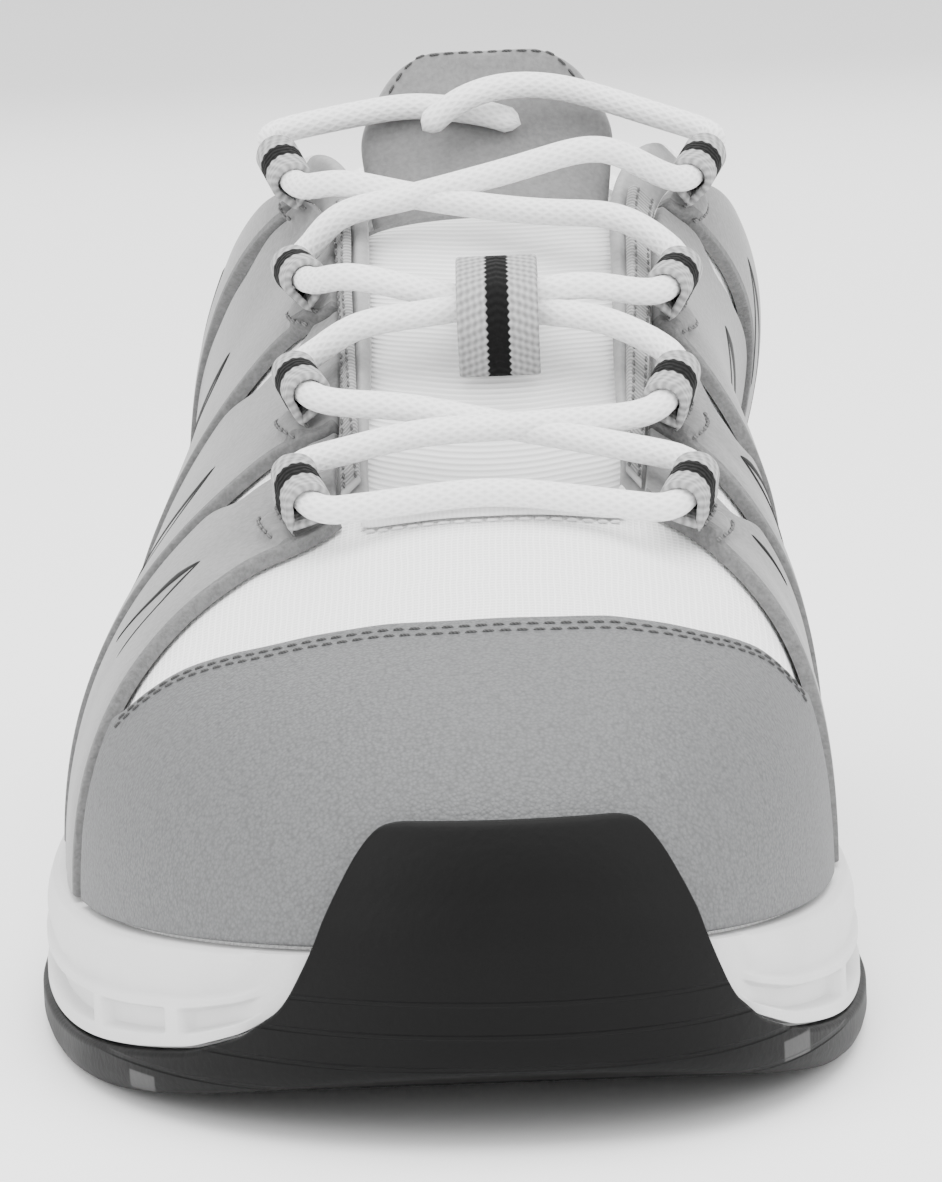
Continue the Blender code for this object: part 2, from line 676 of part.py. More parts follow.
def make_tongue(finish):
    """Padded plate along the throat."""
    over = tongue_grid()
    under = over - grid_normals(over) * TONGUE_THICKNESS
    return plate("tongue", under, over, finish)


def overlay(name, u, v, thickness, finish):
    """Closed piece on the upper between matching grids of places and spoke shares."""
    under = surface(u, v, OVERLAY_GAP)
    over = surface(u, v, OVERLAY_GAP + thickness)
    return plate(name, under, over, finish)


def rim_share(u):
    """Share of each spoke that the midsole's cup hides, with a gap above the rim."""
    return v_at_height(u, rim_height(u) + 0.0005)


def make_toe_cap(finish):
    """Overlay over the toe, from the cup's rim to the stitched edge."""
    front = COLUMNS[COLUMNS < 4.2]
    u = np.concatenate([-4.2 * np.ones(1), -front[:0:-1], front, 4.2 * np.ones(1)])
    top = np.interp(np.abs(u), [row.place for row in CAP_EDGE], [row.reach for row in CAP_EDGE])
    low = rim_share(u)
    share = np.linspace(0.0, 1.0, 7)[:, None]
    v = low + (top - low) * share
    return overlay("toe_cap", np.broadcast_to(u, v.shape), v, CAP_THICKNESS, finish)


def band_edge(band, v):
    """Place of a band's front edge at each share of the spoke, in stations from the toe."""
    levels = BAND_LEVELS[::-1]
    places = (band.top, band.throat, band.shoulder, band.middle, band.low, band.foot)[::-1]
    return np.interp(v, levels, places)


def make_band(band, following, finish):
    """One diagonal band: thick cut edge in front, thinner behind, with a narrow window before the next."""
    sign = 1.0 if band.side == "medial" else -1.0
    end = following.foot if following else COUNTER_PLACE
    columns = 2 + int(np.ceil((end - band.top) / 0.5))
    share_up = np.linspace(0.0, 1.0, BAND_ROWS)[:, None]
    share_back = np.linspace(0.0, 1.0, columns)[None, :]
    reach = BAND_LEVELS[0] + (0.0 if following else QUARTER_REACH - BAND_LEVELS[0]) * smooth(share_back * 3)
    u = np.full((BAND_ROWS, columns), band.foot) + (end - band.foot) * share_back
    for _ in range(3):
        low = rim_share(sign * u[0])
        v = low + (reach - low) * share_up
        front = band_edge(band, v[:, :1])
        if following:
            back = band_edge(following, v[:, -1:]) - BAND_SPLIT - WINDOW * smooth((0.60 - v[:, -1:]) / 0.22)
        else:
            back = np.full_like(front, COUNTER_PLACE - BAND_SPLIT)
        u = front + (back - front) * share_back
    thick = BAND_THICKNESS + (BAND_REAR_THICKNESS - BAND_THICKNESS) * smooth(share_back * 2)
    return overlay("band_%s_%d" % (band.side, band.number), sign * u, v, thick, finish)


def make_bands(finish):
    for band, following in zip(BANDS, BANDS[1:] + [None]):
        if following and following.side != band.side:
            following = None
        make_band(band, following, finish)


def make_heel_counter(finish):
    """Overlay round the heel, from the cup's rim to below the collar."""
    inner = COLUMNS[(COLUMNS > COUNTER_PLACE + 0.1) & (COLUMNS < ROUND - COUNTER_PLACE - 0.1)]
    u = np.concatenate([[COUNTER_PLACE], inner, [ROUND - COUNTER_PLACE]])
    low = rim_share(u)
    top = COUNTER_REACH + 0.16 * smooth(1 - np.abs(u - LAST_ROW) / (LAST_ROW - COUNTER_PLACE))
    share = np.linspace(0.0, 1.0, 5)[:, None]
    v = low + (top - low) * share
    return overlay("heel_counter", np.broadcast_to(u, v.shape), v, COUNTER_THICKNESS, finish)


def make_throat_tapes(finish):
    """Stitched tape along each side of the throat, inboard of the bands."""
    for side, sign in (("lateral", -1.0), ("medial", 1.0)):
        u = sign * np.linspace(4.2, 7.9, 9)[None, :]
        v = np.array([0.94, 0.995])[:, None]
        u, v = np.broadcast_arrays(u, v)
        overlay("throat_tape_" + side, u, v, TAPE_THICKNESS, finish)


def make_throat_lip(finish):
    """Folded white edge across the front of the throat."""
    u = np.linspace(-3.1, 3.1, 11)[None, :]
    v = np.array([0.955, 0.975, 0.995])[:, None]
    u, v = np.broadcast_arrays(u, v)
    thick = TAPE_THICKNESS * np.array([0.6, 1.3, 0.8])[:, None]
    return overlay("throat_lip", u, v, thick, finish)


def strap(name, path, width_axis, width, finish):
    """Webbing of one thickness along a path of points, which lie in a plane across its width."""
    path = np.array(path)
    along = np.gradient(path, axis=0)
    along /= np.linalg.norm(along, axis=1, keepdims=True)
    normal = np.cross(along, width_axis)
    half = np.array(width_axis) * width / 2
    under = np.stack([path - half, path + half], axis=1)
    over = under + normal[:, None, :] * WEBBING_THICKNESS
    return plate(name, under, over, finish)


def loop_frame(loop):
    """Where a loop stands: its foot on the band, and unit vectors along the throat, outboard and up."""
    u = loop.place if loop.side == "medial" else -loop.place
    foot = surface(u, loop.reach, OVERLAY_GAP + BAND_THICKNESS + 2 * GAP)
    up = surface(u, loop.reach, 0.01) - surface(u, loop.reach, 0.0)
    up /= np.linalg.norm(up)
    outboard = np.array([np.sign(u), -LOOP_SLANT, 0.0])
    outboard -= up * np.dot(outboard, up)
    outboard /= np.linalg.norm(outboard)
    return foot, np.cross(up, outboard), outboard, up


def make_loops(finish):
    """Webbing loops: each strap lies on its band, turns round the lace at its inboard end and comes back."""
    turn = LACE_DIAMETER / 2 + LACE_CLEARANCE
    angles = np.radians(np.linspace(-90.0, -270.0, 6))
    for loop in LOOPS:
        foot, along, outboard, up = loop_frame(loop)
        middle = foot + up * (WEBBING_THICKNESS + turn)
        path = [foot + outboard * LOOP_LENGTH + up * WEBBING_THICKNESS]
        path += [middle + outboard * np.cos(a) * turn + up * np.sin(a) * turn for a in angles]
        path.append(foot + outboard * LOOP_LENGTH * 0.55 + up * (WEBBING_THICKNESS * 2 + GAP + 0.0010))
        path.append(foot + outboard * LOOP_LENGTH + up * (WEBBING_THICKNESS + GAP))
        strap("loop_%s_%d" % (loop.side, loop.number), path, along, LOOP_WIDTH, finish)


def grid_faces(rows, columns, first=0):
    faces = []
    for i in range(rows - 1):
        for j in range(columns - 1):
            low = first + i * columns + j
            faces.append((low, low + 1, low + columns + 1, low + columns))
    return faces


def lace_bed():
    """Search tree over what the lace lies on: the tongue's top side and the overlays along the throat."""
    tongue = tongue_grid()
    faces = grid_faces(*tongue.shape[:2])
    points = [tongue.reshape(-1, 3)]
    for sign in (-1.0, 1.0):
        u, v = np.meshgrid(sign * np.linspace(3.6, 9.8, 32), np.linspace(0.66, 1.02, 10))
        points.append(surface(u, v, OVERLAY_GAP + BAND_THICKNESS).reshape(-1, 3))
        faces += grid_faces(*u.shape, sum(len(part) for part in points[:-1]))
    return BVHTree.FromPolygons([tuple(p) for p in np.vstack(points)], faces)


def rest_on(tree, point, clear):
    """The point, raised along the bed's normal where it would come nearer to the bed than asked."""
    place, normal, _, _ = tree.find_nearest(Vector(point))
    normal = np.array(normal) * (1.0 if normal.z > 0 else -1.0)
    height = np.dot(point - np.array(place), normal)
    return point + normal * max(0.0, clear - height)


def lace_stops():
    """Where each loop holds the lace, with the points just before it and just after it."""
    stops = {}
    for loop in LOOPS:
        foot, along, _, up = loop_frame(loop)
        middle = foot + up * (WEBBING_THICKNESS + LACE_DIAMETER / 2 + LACE_CLEARANCE)
        heelward = 1.0 if loop.side == "medial" else -1.0
        step = along * heelward * (LOOP_WIDTH / 2 + LACE_DIAMETER * 0.65)
        stops[loop.side, loop.number] = (middle - step, middle, middle + step)
    return stops


def rounded(points, spacing):
    """Points at about even spacing on a smooth curve through the given ones."""
    points = np.asarray(points)
    padded = np.vstack([2 * points[0] - points[1], points, 2 * points[-1] - points[-2]])
    made = []
    for i in range(1, len(padded) - 2):
        p0, p1, p2, p3 = padded[i - 1:i + 3]
        count = max(1, int(round(np.linalg.norm(p2 - p1) / spacing)))
        for t in np.arange(count) / count:
            turn = (p2 - p0) * t + (2 * p0 - 5 * p1 + 4 * p2 - p3) * t ** 2 + (3 * p1 - p0 - 3 * p2 + p3) * t ** 3
            made.append(p1 + turn / 2)
    made.append(points[-1])
    return np.array(made)


def crossings(stops):
    """Middle of the crossing above each row of loops but the top one."""
    places = {}
    for number in (4, 3, 2):
        ends = [stops[side, number][2] for side in ("lateral", "medial")]
        ends += [stops[side, number - 1][0] for side in ("lateral", "medial")]
        places[number] = sum(ends) / len(ends)
    return places


def lace_half(stops, tree, first, over):
    """Way of one half of the lace: from the bar through the loops, crossing to the other side each time."""
    sides = (first, "medial" if first == "lateral" else "lateral")
    start = (stops["lateral", 4][0] + stops["medial", 4][0]) / 2
    start[2] += BAR_RISE
    way = [start, *stops[first, 4]]
    for k, number in enumerate((3, 2, 1)):
        way += stops[sides[(k + 1) % 2], number]
    path = rounded(way, LACE_DIAMETER * 1.75)
    held = np.zeros(len(path), dtype=bool)
    for stop in stops.values():
        held |= np.linalg.norm(path - stop[1], axis=1) < LOOP_WIDTH * 0.85
    clear = np.full(len(path), LACE_DIAMETER / 2 + LACE_CLEARANCE + GAP)
    for number, place in crossings(stops).items():
        away = np.linalg.norm((path - place)[:, :2], axis=1)
        if number in over:
            clear += LACE_DIAMETER * LACE_MERGE * smooth(1.35 - away / (3 * LACE_DIAMETER))
    for _ in range(8):
        eased = path.copy()
        eased[1:-1] = (path[:-2] + path[2:]) / 2
        eased = np.array([rest_on(tree, point, rise) for point, rise in zip(eased, clear)])
        path = np.where(held[:, None], path, eased)
        path[0] = start
    return path


def tube(name, path, diameter, sides, finish):
    """Round closed tube along a path."""
    along = np.gradient(path, axis=0)
    along /= np.linalg.norm(along, axis=1, keepdims=True)
    across = np.cross(along, (0.0, 0.0, 1.0))
    across /= np.linalg.norm(across, axis=1, keepdims=True)
    up = np.cross(across, along)
    rings = []
    for place, right, top in zip(path, across, up):
        angles = np.radians(360.0) * np.arange(sides) / sides
        rings.append(place + (right * np.cos(angles)[:, None] + top * np.sin(angles)[:, None]) * diameter / 2)
    return ring_solid(name, rings, finish)


def join_solids(made, other):
    """Turns two pieces that cross into one closed solid."""
    joiner = made.modifiers.new("join", "BOOLEAN")
    joiner.operation = "UNION"
    joiner.solver = "EXACT"
    joiner.object = other
    apply_modifiers(made)
    bpy.data.objects.remove(other, do_unlink=True)


def apply_modifiers(made):
    """Replaces the piece's mesh by what its modifiers give."""
    graph = bpy.context.evaluated_depsgraph_get()
    mesh = bpy.data.meshes.new_from_object(made.evaluated_get(graph))
    made.modifiers.clear()
    made.data = mesh


def make_lace(finish):
    """The lace: a bar at the front and three crossings, then the two free ends tucked in at the top."""
    stops = lace_stops()
    tree = lace_bed()
    lateral = lace_half(stops, tree, "lateral", (4, 2))
    medial = lace_half(stops, tree, "medial", (3,))
    made = tube("lace", lateral, LACE_DIAMETER, 6, finish)
    other = tube("lace_half", medial, LACE_DIAMETER, 6, finish)
    join_solids(made, other)
    make_lace_ends(stops, tree, finish)


def make_lace_ends(stops, tree, finish):
    """Free ends: each leaves its top loop, arches over the tongue and is tucked in on the other side."""
    for side, sign in (("lateral", 1.0), ("medial", -1.0)):
        leave = stops[side, 1][2] - stops[side, 1][1]
        leave /= np.linalg.norm(leave)
        way = [stops[side, 1][2] + leave * GAP, stops[side, 1][2] + leave * LACE_DIAMETER]
        for row in LACE_ENDS[side]:
            x = THROAT_SHIFT + sign * row.reach * THROAT_HALF_WIDTH
            y = np.interp(row.height, [one.height for one in TONGUE_TOP], [y_at(one.along) for one in TONGUE_TOP])
            place, normal, _, _ = tree.find_nearest(Vector((x, y, INSTEP_HEIGHT * row.height)))
            lift = np.array(normal) * (1.0 if normal.z > 0 else -1.0)
            way.append(np.array(place) + lift * (LACE_DIAMETER * (0.5 + row.lift) + LACE_CLEARANCE))
        path = rounded(way, LACE_DIAMETER * 2.2)
        line = bpy.data.curves.new("lace_end_" + side, "CURVE")
        line.dimensions = "3D"
        line.bevel_depth = LACE_DIAMETER / 2
        line.bevel_resolution = 2
        line.use_fill_caps = True
        spline = line.splines.new("POLY")
        spline.points.add(len(path) - 1)
        for point, place in zip(spline.points, path):
            point.co = (*place, 1.0)
        line.materials.append(finish)
        made = bpy.data.objects.new("lace_end_" + side, line)
        bpy.context.scene.collection.objects.link(made)


def make_keeper(finish):
    """Webbing strap down the middle of the tongue, over the second crossing."""
    tree = lace_bed()
    stops = lace_stops()
    middle = crossings(stops)[3]
    tall = LACE_DIAMETER * (1 + LACE_MERGE) + 2 * LACE_CLEARANCE
    uphill = np.array([0.0, 0.85, 0.53])
    path = []
    for reach, share in KEEPER_PATH:
        place, normal, _, _ = tree.find_nearest(Vector(middle + uphill * reach))
        lift = np.array(normal) * (1.0 if normal.z > 0 else -1.0)
        path.append(np.array(place) + lift * (GAP + tall * share))
    strap("lace_keeper", path, np.array([-1.0, 0.0, 0.0]), KEEPER_WIDTH, finish)


def clear_scene():
    for old in list(bpy.data.objects):
        bpy.data.objects.remove(old, do_unlink=True)


def main():
    clear_scene()
    rubber = material("outsole_rubber", (0.015, 0.015, 0.016), 0.55)
    foam = material("midsole_foam", (0.85, 0.85, 0.84), 0.6)
    textile = material("textile", (0.86, 0.86, 0.85), 0.8)
    lining = material("footbed", (0.10, 0.10, 0.11), 0.9)
    make_outsole(rubber)
    make_midsole(foam)
    make_upper(textile)
    make_insole(lining)
    make_tongue(textile)
    microfibre = material("microfibre", (0.42, 0.43, 0.44), 0.8)
    webbing = material("webbing", (0.40, 0.41, 0.42), 0.85)
    make_toe_cap(microfibre)
    make_bands(microfibre)
    make_heel_counter(microfibre)
    make_throat_tapes(webbing)
    make_throat_lip(textile)
    make_loops(webbing)
    cord = material("lace_cord", (0.85, 0.85, 0.84), 0.8)
    make_lace(cord)
    make_keeper(webbing)


main()
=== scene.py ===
"""Safety sneaker, right shoe: the photo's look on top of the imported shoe, which stands on a pale floor.

Sizes are in metres. The toe points to -Y and the medial side is +X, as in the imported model.
"""
from collections import namedtuple

import bmesh
import bpy
import numpy as np
from mathutils import Matrix


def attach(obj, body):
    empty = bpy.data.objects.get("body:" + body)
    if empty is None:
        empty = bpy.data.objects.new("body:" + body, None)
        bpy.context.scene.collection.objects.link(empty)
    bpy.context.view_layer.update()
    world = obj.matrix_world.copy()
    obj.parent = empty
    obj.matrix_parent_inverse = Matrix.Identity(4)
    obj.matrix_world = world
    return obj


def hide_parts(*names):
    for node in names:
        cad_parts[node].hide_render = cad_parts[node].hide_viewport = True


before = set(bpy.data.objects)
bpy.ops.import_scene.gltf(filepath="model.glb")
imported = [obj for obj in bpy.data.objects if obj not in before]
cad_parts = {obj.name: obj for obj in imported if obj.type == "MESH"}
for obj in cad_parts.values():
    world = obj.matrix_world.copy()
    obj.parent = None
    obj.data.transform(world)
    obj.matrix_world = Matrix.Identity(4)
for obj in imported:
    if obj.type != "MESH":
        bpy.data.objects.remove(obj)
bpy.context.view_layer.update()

# Camera, light and floor
# The photo looks at the toe from the front, a little from above, with a long lens and a slight roll. Light is
# soft from above and both sides, over a pale floor.
view_target = np.array([0.0, -0.070, 0.060])
view_yaw, view_elevation, view_roll = np.radians([1.451, 8.164, -2.503])
view_distance = 0.800
photo_width, photo_height = 942, 1182
focal_pixels = 5901.8
lens_centre = (429.86, 586.06)
sensor_width = 36.0


def unit(vectors):
    """Each vector divided by its length."""
    return vectors / np.linalg.norm(vectors, axis=-1, keepdims=True)


def place_camera():
    """The axis back runs from the target to the camera; roll turns the right and up axes about it."""
    back = np.array([
        np.sin(view_yaw) * np.cos(view_elevation),
        -np.cos(view_yaw) * np.cos(view_elevation),
        np.sin(view_elevation),
    ])
    right = unit(np.cross((0.0, 0.0, 1.0), back))
    up = np.cross(back, right)
    rolled_right = right * np.cos(view_roll) + up * np.sin(view_roll)
    rolled_up = up * np.cos(view_roll) - right * np.sin(view_roll)
    lens = bpy.data.cameras.new("camera")
    lens.sensor_fit = "HORIZONTAL"
    lens.sensor_width = sensor_width
    lens.lens = focal_pixels * sensor_width / photo_width
    lens.shift_x = (photo_width / 2 - lens_centre[0]) / photo_width
    lens.shift_y = (lens_centre[1] - photo_height / 2) / photo_width
    lens.clip_start = 0.01
    lens.clip_end = 100.0
    camera = bpy.data.objects.new("camera", lens)
    bpy.context.scene.collection.objects.link(camera)
    where = view_target + back * view_distance
    axes = np.stack([rolled_right, rolled_up, back, where], axis=1)
    camera.matrix_world = Matrix([*axes.tolist(), [0.0, 0.0, 0.0, 1.0]])
    bpy.context.scene.camera = camera


place_camera()

Lamp = namedtuple("Lamp", "name place size power")
lamps = [
    Lamp("lamp_above", (0.05, -0.25, 1.50), 1.6, 42.0),
    Lamp("lamp_left", (-1.20, -0.90, 0.75), 1.2, 17.0),
    Lamp("lamp_right", (1.25, -0.80, 0.70), 1.2, 16.0),
    Lamp("lamp_behind", (0.00, 1.50, 1.10), 1.4, 14.0),
]
for lamp in lamps:
    light = bpy.data.lights.new(lamp.name, "AREA")
    light.size = lamp.size
    light.energy = lamp.power
    holder = bpy.data.objects.new(lamp.name, light)
    bpy.context.scene.collection.objects.link(holder)
    aim = unit(np.array(lamp.place) - (0.0, 0.0, 0.05))
    side = unit(np.cross((0.0, 1.0, 0.001), aim))
    axes = np.stack([side, np.cross(aim, side), aim, np.array(lamp.place)], axis=1)
    holder.matrix_world = Matrix([*axes.tolist(), [0.0, 0.0, 0.0, 1.0]])

sky = bpy.data.worlds.new("studio")
sky.use_nodes = True
sky.node_tree.nodes["Background"].inputs["Color"].default_value = (1.0, 1.0, 1.0, 1.0)
sky.node_tree.nodes["Background"].inputs["Strength"].default_value = 1.55
bpy.context.scene.world = sky


class Shade:
    """A socket of a material's nodes. Sums, differences and products of shades add Math nodes."""

    def __init__(self, tree, socket):
        self.tree = tree
        self.socket = socket

    def node(self, kind, settings=None, output=0, **values):
        """Adds a node, gives it its settings, fills the named or numbered sockets, and returns one output."""
        made = self.tree.nodes.new("ShaderNode" + kind)
        for key, value in (settings or {}).items():
            setattr(made, key, value)
        for key, value in values.items():
            name = key.replace("_", " ")
            socket = made.inputs[int(name[1:])] if name[1:].isdigit() else made.inputs[name]
            if isinstance(value, Shade):
                self.tree.links.new(value.socket, socket)
            else:
                socket.default_value = value
        return Shade(self.tree, made.outputs[output])

    def math(self, operation, *others):
        """Adds one Math node on this shade and any others."""
        values = {"s%d" % k: value for k, value in enumerate((self, *others))}
        return self.node("Math", {"operation": operation}, **values)

    def __add__(self, other):
        return self.math("ADD", other)

    def __mul__(self, other):
        return self.math("MULTIPLY", other)

    def __sub__(self, other):
        return self.math("SUBTRACT", other)

    def __rsub__(self, other):
        return (self * -1.0).math("ADD", other)

    __radd__ = __add__
    __rmul__ = __mul__

    def wave(self, period):
        """Goes smoothly from 0 to 1 and back once in each period."""
        return (self * (2 * np.pi / period)).math("SINE") * 0.5 + 0.5

    def between(self, low, high):
        """Rises smoothly from 0 at low to 1 at high."""
        settings = {"interpolation_type": "SMOOTHSTEP"}
        return self.node("MapRange", settings, Value=self, From_Min=low, From_Max=high)

    def paint(self, low, high):
        """Colour that goes from low to high as the shade goes from 0 to 1."""
        return self.node("Mix", {"data_type": "RGBA"}, output=2, s0=self, s6=(*low, 1.0), s7=(*high, 1.0))

    def paint_over(self, under, colour):
        """Colour under, painted over with another where the shade is 1."""
        return self.node("Mix", {"data_type": "RGBA"}, output=2, s0=self, s6=under, s7=(*colour, 1.0))

    def noise(self, scale, detail=2.0):
        """Cloudy value from 0 to 1 at the coordinates that this shade holds."""
        return self.node("TexNoise", output=0, Vector=self, Scale=scale, Detail=detail)

    def part(self, axis):
        """One coordinate, named X, Y or Z."""
        return self.node("SeparateXYZ", output="XYZ".index(axis), Vector=self)


class Finish:
    """A material for one kind of real stuff: coordinates to read, and the sockets that may vary."""

    def __init__(self, name, roughness, **constants):
        self.material = bpy.data.materials.new(name)
        self.material.use_nodes = True
        self.tree = self.material.node_tree
        self.shader = self.tree.nodes["Principled BSDF"]
        self.shader.inputs["Roughness"].default_value = roughness
        for key, value in constants.items():
            self.shader.inputs[key.replace("_", " ")].default_value = value
        start = Shade(self.tree, None)
        self.place = start.node("TexCoord", output=3)
        self.cloth = start.node("TexCoord", output=2)

    def set(self, socket, shade):
        """Links a shade to one of the shader's sockets."""
        self.tree.links.new(shade.socket, self.shader.inputs[socket])

    def bump(self, height, depth):
        """Surface relief: height from 0 to 1 stands for depth metres."""
        self.set("Normal", height.node("Bump", Distance=depth, Height=height))

    def weave(self, pattern, low, high, depth):
        """Two greys that a pattern goes between, and its relief."""
        self.set("Base Color", pattern.paint(grey(low), grey(high)))
        self.bump(pattern, depth)


def grey(level, tint=0.0):
    """Linear colour of a screen grey from 0 to 1, a little bluer for a positive tint."""
    base = ((level + 0.055) / 1.055) ** 2.4
    return (base * (1 - tint), base, base * (1 + tint))


def make_floor():
    """Flat square sheet under the shoe."""
    half = 9.0
    corners = [(-half, -half, 0), (half, -half, 0), (half, half, 0), (-half, half, 0)]
    mesh = bpy.data.meshes.new("floor")
    mesh.from_pydata(corners, [], [(0, 1, 2, 3)])
    matt = Finish("floor_paper", 0.9)
    matt.set("Base Color", matt.place.noise(0.6).between(0.3, 0.7).paint(grey(0.955), grey(0.965)))
    mesh.materials.append(matt.material)
    floor = bpy.data.objects.new("floor", mesh)
    bpy.context.scene.collection.objects.link(floor)


make_floor()

# Outsole
# One black rubber moulding: a tread plate with lugs, a thin side edge, and the bumper over the toe. It is
# cemented under and round the midsole. Two small light plugs are let into its edge at the front corners.
shoe_length = 0.302
ball_width = 0.114
heel_width = 0.083
instep_height = 0.113
floor_height = 0.024
rim_height = 0.037
toe_spring = 0.010
gap = 0.0003

Station = namedtuple("Station", "along rules lateral medial")
outline = [
    Station(0.000, ball_width, 0.19, 0.19),
    Station(0.022, ball_width, -0.24, 0.59),
    Station(0.060, ball_width, -0.50, 0.765),
    Station(0.115, ball_width, -0.72, 0.895),
    Station(0.190, ball_width, -0.88, 0.975),
    Station(0.280, ball_width, -0.975, 1.000),
    Station(0.370, ball_width, -1.000, 0.950),
    Station(0.460, ball_width, -0.955, 0.840),
    Station(0.550, ball_width, -0.875, 0.735),
    Station(0.640, heel_width, -1.090, 0.955),
    Station(0.730, heel_width, -1.015, 0.975),
    Station(0.820, heel_width, -0.965, 1.010),
    Station(0.900, heel_width, -0.875, 0.985),
    Station(0.960, heel_width, -0.630, 0.750),
    Station(0.990, heel_width, -0.306, 0.427),
    Station(1.000, heel_width, 0.060, 0.060),
]
last_row = len(outline) - 1
round_trip = 2 * last_row

SoleRow = namedtuple("SoleRow", "tread floor rim edge")
sole_rows = [
    SoleRow(1.00, 0.83, 0.670, 1.0),
    SoleRow(0.80, 0.81, 0.660, 1.0),
    SoleRow(0.50, 0.77, 0.635, 1.0),
    SoleRow(0.20, 0.70, 0.605, 1.0),
    SoleRow(0.02, 0.63, 0.575, 1.0),
    SoleRow(0.00, 0.60, 0.565, 1.0),
    SoleRow(0.00, 0.60, 0.580, 1.05),
    SoleRow(0.06, 0.64, 0.655, 1.15),
    SoleRow(0.22, 0.71, 0.755, 1.25),
    SoleRow(0.22, 0.80, 0.850, 1.25),
    SoleRow(0.06, 0.90, 0.920, 1.2),
    SoleRow(0.00, 0.96, 0.960, 1.15),
    SoleRow(0.00, 1.00, 0.985, 1.1),
    SoleRow(0.03, 1.00, 1.000, 1.1),
    SoleRow(0.10, 1.00, 1.010, 1.1),
    SoleRow(0.14, 1.00, 1.015, 1.1),
]

feather_inset = 0.0058
side_bulge = 0.010
throat_half = 0.0184
throat_shift = 0.009
collar_half = 0.0372
Spoke = namedtuple(
    "Spoke", "rail_side across rail_along rail_height ridge rise flare drop reach bulge_lat bulge_med"
)
spokes = [
    Spoke(0.00, throat_half, 0.2900, 0.622, 1.00, 0.72, 0.25, 0.26, 0.52, 0.0, 0.0),
    Spoke(0.34, throat_half, 0.2905, 0.620, 1.00, 0.72, 0.25, 0.26, 0.52, -0.1, -0.1),
    Spoke(0.65, throat_half, 0.2930, 0.614, 1.00, 0.72, 0.25, 0.26, 0.54, -0.4, -0.2),
    Spoke(0.87, throat_half, 0.3010, 0.609, 1.00, 0.72, 0.25, 0.26, 0.56, -0.4, -0.2),
    Spoke(0.97, throat_half, 0.3230, 0.627, 1.00, 0.72, 0.25, 0.25, 0.56, -0.4, -0.1),
    Spoke(1.00, throat_half, 0.3630, 0.700, 1.00, 0.69, 0.25, 0.23, 0.55, -0.9, 0.2),
    Spoke(1.02, throat_half, 0.4150, 0.786, 1.00, 0.65, 0.25, 0.21, 0.58, -1.7, 0.7),
    Spoke(1.05, throat_half, 0.4750, 0.873, 1.00, 0.60, 0.25, 0.21, 0.62, -1.7, 1.1),
    Spoke(1.12, throat_half, 0.5350, 0.955, 1.00, 0.52, 0.25, 0.23, 0.66, -0.8, 1.8),
    Spoke(0.74, collar_half, 0.5950, 0.985, 0.95, 0.45, 0.25, 0.26, 0.60, 0.2, 2.4),
    Spoke(0.92, collar_half, 0.6700, 0.900, 0.85, 0.40, 0.25, 0.28, 0.50, 0.9, 2.1),
    Spoke(0.98, collar_half, 0.7650, 0.830, 0.75, 0.40, 0.25, 0.30, 0.40, 0.8, 1.3),
    Spoke(0.87, collar_half, 0.8580, 0.840, 0.60, 0.40, 0.28, 0.30, 0.35, 0.5, 0.6),
    Spoke(0.59, collar_half, 0.9220, 0.885, 0.48, 0.40, 0.30, 0.30, 0.30, 0.3, 0.4),
    Spoke(0.27, collar_half, 0.9470, 0.915, 0.42, 0.40, 0.32, 0.30, 0.30, 0.2, 0.2),
    Spoke(0.00, collar_half, 0.9510, 0.925, 0.42, 0.40, 0.32, 0.30, 0.30, 0.2, 0.2),
]


def both_sides(medial, lateral):
    """Rows round the shoe: the medial ones from toe to heel, then the lateral ones back to the toe."""
    return np.array(list(medial) + list(lateral[-2:0:-1]), dtype=float)


def y_at(along):
    """Distance from the origin towards the heel, for a share of the shoe's length."""
    return (along - 0.5) * shoe_length


class Ring:
    """Periodic cubic spline through rows of values round the shoe, spaced as the outline's chords."""

    def __init__(self, rows, steps):
        self.rows = np.array(rows, dtype=float)
        self.steps = steps
        count = len(self.rows)
        before, after = np.roll(steps, 1), steps
        matrix = np.diag(2 * (before + after))
        matrix[np.arange(count), (np.arange(count) - 1) % count] += before
        matrix[np.arange(count), (np.arange(count) + 1) % count] += after
        slope = (np.roll(self.rows, -1, axis=0) - self.rows) / after[:, None]
        self.bend = np.linalg.solve(matrix, 6 * (slope - np.roll(slope, 1, axis=0)))

    def __call__(self, u):
        u = np.asarray(u, dtype=float) % len(self.rows)
        i = np.floor(u).astype(int) % len(self.rows)
        j = (i + 1) % len(self.rows)
        share = (u - np.floor(u))[..., None]
        step = self.steps[i][..., None]
        curve = self.bend[i] * ((1 - share) ** 3 - (1 - share)) + self.bend[j] * (share ** 3 - share)
        return self.rows[i] * (1 - share) + self.rows[j] * share + curve * step ** 2 / 6


def side_outline(side):
    """Points in plan of one side of the outline, from toe to heel."""
    return [(getattr(row, side) * row.rules / 2, y_at(row.along)) for row in outline]


outline_points = both_sides(side_outline("medial"), side_outline("lateral"))
chords = np.linalg.norm(np.roll(outline_points, -1, axis=0) - outline_points, axis=1)
outline_ring = Ring(outline_points, chords)
sole_values = np.array(sole_rows) * (toe_spring, floor_height, rim_height, 0.006)
sole_ring = Ring(both_sides(sole_values, sole_values), chords)


def outward(u):
    """Unit vector in plan at right angles to the outline, away from the shoe."""
    u = np.asarray(u, dtype=float)
    along = outline_ring(u + 0.01) - outline_ring(u - 0.01)
    return unit(np.stack([along[..., 1], -along[..., 0]], axis=-1))


def inset_point(u, inset, height):
    """Point at a height, a distance inside the sole's outline."""
    u, inset, height = np.broadcast_arrays(*(np.asarray(value, float) for value in (u, inset, height)))
    plan = outline_ring(u) - outward(u) * inset[..., None]
    return np.concatenate([plan, height[..., None]], axis=-1)


